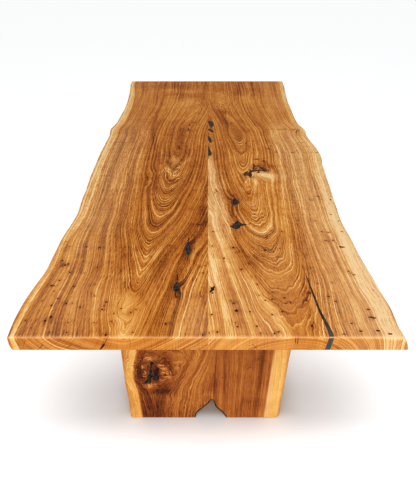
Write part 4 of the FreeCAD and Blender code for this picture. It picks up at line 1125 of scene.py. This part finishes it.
# %% Rings and tone of a leg
BURL = (-208.0, 272.0)
BURL_SIZE = 74.0
BURL_TALL = 0.75  # heights count this much, which makes the burl an oval
LEAN = 82.0
LEAN_AT, LEAN_HALF = -88.0, 84.0  # where the bell of the lean stands, and its half width
SPREAD = 0.0011  # the figure spreads outwards by this share of x for each mm of depth, as the edges do
LEG_SAP_LEFT = [(0, -261), (135, -265), (205, -280), (285, -277), (360, -258), (450, -262), (705, -272)]
LEG_SAP_RIGHT = [(0, 220), (362, 242), (705, 262)]
LEG_BANDS = {  # amount, half width, (height, x) points
    "dark wood beside the left sapwood": (-0.20, 17, [(-50, -243), (135, -246), (205, -262), (285, -257),
                                                      (360, -236), (700, -248)]),
    "brown foot": (-0.15, 40, [(-50, -205), (150, -205)]),
    "dark stripe": (-0.13, 11, [(-50, 178), (360, 205), (750, 222)]),
    "second stripe": (-0.08, 7, [(-50, 150), (400, 168), (750, 180)]),
    "gold beside the right sapwood": (0.08, 9, [(-50, 203), (400, 226), (750, 245)]),
    "gold line beside the burl": (0.04, 12, [(60, -70), (160, -60), (260, -24), (400, 16)]),
    "gold line beside the burl, second": (0.05, 10, [(120, -110), (220, -84), (300, -50), (400, -20)]),
    "dark line beside the burl": (-0.14, 6, [(60, -88), (170, -76), (270, -38), (400, 0)]),
    "dark line beside the burl, second": (-0.14, 6, [(150, -124), (240, -98), (320, -64), (400, -40)]),
    "dark line beside the burl, third": (-0.12, 5, [(100, -48), (200, -34), (300, 2), (380, 12)]),
    "brown middle": (-0.06, 22, [(120, 70), (700, 78)]),
    "brown right of the middle": (-0.04, 46, [(-50, 130), (700, 150)]),
    "paler middle": (0.09, 66, [(60, -62), (400, -40)]),
    "dark line, first": (-0.16, 4, [(130, 22), (250, 26), (420, 34)]),
    "dark line, second": (-0.14, 4, [(150, 62), (420, 56)]),
    "gold line": (0.10, 5, [(80, 118), (420, 136)]),
    "gold line, second": (0.08, 4, [(-20, 100), (420, 108)]),
}
LEG_MARKS = {  # amount, (x, height), half sizes
    "dark burl": (-0.20, (-198, 245), (60, 88)),
    "dark wedge beside the burl": (-0.16, (-150, 322), (18, 30)),
    "brown under the burl": (-0.08, (-190, 70), (60, 90)),
    "black hollow": (-0.34, (-195, 236), (11, 32)),
    "dark above the left": (-0.14, (-252, 250), (12, 60)),
    "darkest under the knot": (-0.26, (-180, 152), (50, 19)),
    "brown above": (-0.12, (-200, 350), (50, 20)),
    "copper at the top": (0.34, (-214, 318), (13, 7)),
    "copper at the top, right": (0.24, (-190, 322), (12, 5)),
    "copper at the left": (0.34, (-243, 276), (7, 9)),
    "copper at the left, lower": (0.3, (-240, 240), (6, 8)),
    "copper under the crack": (0.36, (-222, 178), (7, 12)),
    "copper under the crack, right": (0.3, (-200, 184), (6, 10)),
    "copper curl, first": (0.36, (-180, 284), (8, 6)),
    "copper curl, second": (0.36, (-166, 268), (9, 6)),
    "copper curl, third": (0.32, (-172, 246), (7, 8)),
    "copper curl, fourth": (0.36, (-156, 250), (7, 7)),
    "copper curl, fifth": (0.34, (-164, 222), (8, 8)),
    "copper curl, sixth": (0.3, (-180, 208), (7, 7)),
    "copper curl, seventh": (0.28, (-146, 226), (6, 9)),
    "dark between the curls": (-0.2, (-160, 236), (5, 6)),
    "dark beside the curls": (-0.16, (-140, 262), (6, 22)),
    "dark wedge over the curls": (-0.22, (-150, 300), (14, 10)),
    "curls over the void": (-0.1, (18, 190), (16, 40)),
}


def leg_rings(x, height, thick):
    """Ring number of a leg: stream lines round its burl. Above the void they lean over to the right,
    by a bell of LEAN mm across x, which is undone in five steps. In the burl the wood is wild: there
    the rings are pushed about by two fine wanderings."""
    x = x * (1 - SPREAD * thick)
    foot = x
    for _ in range(5):
        foot = x - LEAN * np.exp(-((foot - LEAN_AT) / LEAN_HALF) ** 2) * smooth_step(140, 400, height)
    s, up = foot - BURL[0], (height - BURL[1]) * BURL_TALL
    r = np.hypot(s + 9 * drift(x / 19, height / 19, 61), up + 9 * drift(x / 17, height / 21, 67))
    stream = s * (1 - BURL_SIZE ** 2 / np.maximum(r, BURL_SIZE) ** 2)
    ring = np.where(r < BURL_SIZE, 0.9 * (r - BURL_SIZE), stream) + 0.25 * thick
    wild = smooth_step(1.5 * BURL_SIZE, 0.5 * BURL_SIZE, r)
    ring = ring + wild * (16 * drift(x / 15, height / 13, 73) + 7 * drift(x / 7, height / 8, 79))
    calm = smooth_step(60, 20, foot)
    ring = ring + 4.0 * drift(x / 70, height / 150, 53) + 3.0 * calm * drift(x / 22, height / 34, 59)
    return ring, ring + 0.2 * s


def leg_tone(x, height, thick):
    """Base tone and sapwood share of a leg."""
    x = x * (1 - SPREAD * thick)
    tone = 0.55 + 0 * x
    for amount, half_width, points in LEG_BANDS.values():
        tone = tone + amount * band(x, height, points, half_width)
    for amount, at, half_size in LEG_MARKS.values():
        tone = tone + amount * bump(x, height, at, half_size)
    left = smooth_step(2.5, -2.5, x - along_curve(LEG_SAP_LEFT, height, 14.0))
    right = smooth_step(-2.5, 2.5, x - along_curve(LEG_SAP_RIGHT, height, 30.0))
    sap = np.maximum(left, right)
    peach = right * bump(x, height, (232, 180), (14, 260))
    outer = np.exp(-((x - np.interp(height, *outer_left)) / 9) ** 2)
    outer += np.exp(-((x - np.interp(height, *outer_right)) / 7) ** 2)
    return tone * (1 - sap) + (0.93 + 0.01 * right - 0.13 * outer) * sap, sap, 0.4 * peach


LEG_STOPS = [(0.0, "#2a1610"), (0.2, "#652e16"), (0.36, "#8a451e"), (0.5, "#ad6029"), (0.64, "#c67935"),
             (0.78, "#da9143"), (0.9, "#f2b057"), (1.0, "#fdcc78")]
leg_wood = wood("oiled heartwood slab", LEG_STOPS, ring=5.0, gloss=(0.5, 0.6), jag=1.2, gold=0.10,
                streaks=0.5, thin_lines=0.36, vessels=0.26)
for name, end in (("near_leg", -1), ("far_leg", 1)):
    points, quads, x, height, thick = leg_shape(end)
    tone, sap, cream = leg_tone(x, height, thick)
    ring, fibre = leg_rings(x, height, thick)
    contrast = (1 - 0.45 * sap) * (0.62 + 0.6 * smooth_step(60, 0, x))
    contrast = contrast * (1 - 0.42 * bump(x, height, (-20, 290), (60, 150)))
    piece = make_piece("slab_" + name, points, quads,
                       {"rings": ring, "fibre": fibre, "tip": 0.3 * smooth_step(60, 0, x), "tone": tone,
                        "along": height, "contrast": contrast, "cream": cream})
    piece.data.materials.append(leg_wood)
    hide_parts(name)
    print(piece.name, len(points), "points", 2 * len(quads), "triangles")

# %% Marks in the legs
LEG_PINS = [  # x, height, half width, half height, darkness
    (185, 319, 4, 5, 0.8), (182, 330, 3, 3, 0.5), (180, 312, 5, 2.5, 0.6), (155, 274, 5, 2.5, 0.7),
    (148, 270, 4, 2.5, 0.5), (54, 222, 3, 4, 0.9), (27, 175, 2.5, 3.5, 0.8), (-196, 238, 9, 15, 1.0),
    (-192, 262, 6, 9, 0.9), (-205, 216, 7, 9, 0.9), (-186, 226, 5, 7, 0.8), (-238, 262, 3, 4, 0.6),
    (-176, 276, 3, 3, 0.5), (-160, 238, 3, 3, 0.6), (30, 140, 2, 4, 0.5), (96, 248, 2, 3, 0.4),
]
LEG_CHECKS = [  # (x, height) along it, half width, darkness, and copper where that is negative
    ([(-206, 306), (-200, 290), (-190, 276), (-184, 258), (-188, 240), (-194, 222)], 3.4, 0.9),
    ([(-208, 262), (-198, 246), (-188, 232), (-186, 214), (-196, 200)], 4.0, 0.9),
    ([(-182, 300), (-166, 296), (-150, 284), (-138, 262), (-132, 240)], 2.2, 0.6),
    ([(-160, 316), (-152, 300), (-136, 282), (-128, 262)], 2.4, 0.6),
    ([(-244, 302), (-250, 280), (-252, 256), (-246, 232)], 2.4, 0.6),
    ([(-262, 292), (-268, 270), (-272, 262)], 1.5, 0.6),
    ([(-298, 288), (-280, 286), (-268, 284)], 1.0, 0.4),
    ([(-244, 208), (-250, 196), (-240, 184)], 2.5, 0.7),
    ([(-170, 196), (-158, 204), (-146, 202)], 1.6, 0.5),
    ([(22, 130), (24, 200), (30, 290), (34, 372)], 1.5, 0.5), ([(62, 180), (60, 260), (56, 350)], 1.2, 0.4),
    ([(204, 40), (210, 160), (216, 300)], 1.6, 0.3),
    ([(-236, 316), (-226, 326), (-214, 322), (-206, 330)], 2.6, -0.7),
    ([(-222, 310), (-214, 316), (-204, 312)], 2.0, -0.7),
    ([(-248, 288), (-242, 278), (-246, 268)], 2.2, -0.6),
    ([(-240, 258), (-232, 250), (-234, 240)], 1.8, -0.6),
    ([(-246, 232), (-238, 226), (-232, 230)], 2.0, -0.6),
    ([(-226, 190), (-228, 178), (-222, 166)], 2.2, -0.7),
    ([(-214, 192), (-214, 180), (-210, 170)], 1.6, -0.5),
    ([(-184, 290), (-174, 284), (-164, 286)], 2.0, -0.7),
    ([(-178, 274), (-168, 266), (-158, 270), (-152, 262)], 2.2, -0.7),
    ([(-174, 254), (-166, 248), (-160, 252)], 2.0, -0.6),
    ([(-160, 246), (-152, 240), (-146, 246)], 1.8, -0.6),
    ([(-172, 232), (-164, 224), (-154, 230), (-148, 222)], 2.0, -0.7),
    ([(-180, 212), (-170, 208), (-160, 214)], 1.8, -0.5),
    ([(-144, 258), (-138, 244), (-140, 228)], 1.5, -0.5),
]
for name, end in (("near_leg_marks", -1), ("far_leg_marks", 1)):
    marks_piece(name, LEG_PINS, LEG_CHECKS,
                lambda x, z, lift: np.stack([SEAM_X + x, end * (LEG_OUT - SUNK + lift), z], 1),
                turned=end > 0)

# %% [markdown]
# ## Resin, steel, zinc and nylon
# The fillings and fittings keep their construction shapes. Epoxy resin is poured black and sanded level,
# which leaves it satin. The steel is powder coated, with the fine orange
# peel of baked powder. Screws and bolts are zinc plated: a pale, faintly mottled metal. The glides are
# moulded nylon. Each node already has a material slot, so a finish is put into that slot.

# %% Finishes of the construction nodes
SCUFFED = (-1.27, -1.34)  # m along the table: what is poured in the split is scuffed grey from here to here


def plain_finish(name, dark, pale, mottle_mm, roughness, peel_mm, peel, metallic=0.0, gloss=0.5,
                 scuffed=None):
    """A finish with two hex colours mottled over each other, two roughnesses and a fine relief, and a
    third colour that it fades to near the near end."""
    made, tree, surface = new_material(name)
    here = add(tree, "TexCoord").outputs["Object"]
    mottle = add(tree, "TexNoise", {"Vector": here, "Scale": 1000 / mottle_mm, "Detail": 4.0}).outputs[0]
    colour = add(tree, "ValToRGB", {0: mottle}, stops=[(0.42, dark), (0.7, pale)]).outputs[0]
    if scuffed:
        place = add(tree, "SeparateXYZ", {0: here}).outputs[1]
        share = add(tree, "MapRange", {"Value": place, "From Min": SCUFFED[0], "From Max": SCUFFED[1],
                                       "To Max": 0.85}).outputs[0]
        colour = add(tree, "Mix", {0: share, 6: colour, 7: linear(scuffed)}, data_type="RGBA").outputs[2]
    shine = add(tree, "MapRange", {"Value": mottle, "From Min": 0.3, "From Max": 0.7,
                                   "To Min": roughness[0], "To Max": roughness[1]}).outputs[0]
    grain = add(tree, "TexNoise", {"Vector": here, "Scale": 1000 / peel_mm, "Detail": 2.0}).outputs[0]
    normal = add(tree, "Bump", {"Height": grain, "Strength": peel, "Distance": 0.0004}).outputs[0]
    shader = add(tree, "BsdfPrincipled", {"Base Color": colour, "Roughness": shine, "Normal": normal,
                                          "Metallic": metallic, "Specular IOR Level": gloss}).outputs[0]
    tree.links.new(shader, surface)
    return made


FINISHES = {
    # the paler mottle of the resin is partly its sanded look, partly painted reflection of its satin sheen
    "black_resin": plain_finish("sanded black epoxy with painted sheen", "#0e0906", "#4a3f37", 9.0, (0.5, 0.7), 3.0, 0.06,
                                gloss=0.05, scuffed="#4e4b46"),
    "black_steel": plain_finish("black powder coat", "#161617", "#222223", 30.0, (0.5, 0.62), 1.4, 0.3),
    "zinc_steel": plain_finish("zinc plating", "#a9adb2", "#cfd2d4", 5.0, (0.26, 0.42), 1.0, 0.1,
                               metallic=1.0),
    "black_nylon": plain_finish("moulded black nylon", "#121213", "#1e1e1f", 9.0, (0.5, 0.66), 0.8, 0.25),
    "beech_tenon": plain_finish("planed beech", "#c79a6b", "#dcb48a", 8.0, (0.5, 0.6), 1.5, 0.2),
}
for node in nodes.values():
    for slot in node.material_slots:
        if slot.material.name in FINISHES:
            slot.material = FINISHES[slot.material.name]
print("finished", len(nodes), "nodes with", [m.name for m in FINISHES.values()])
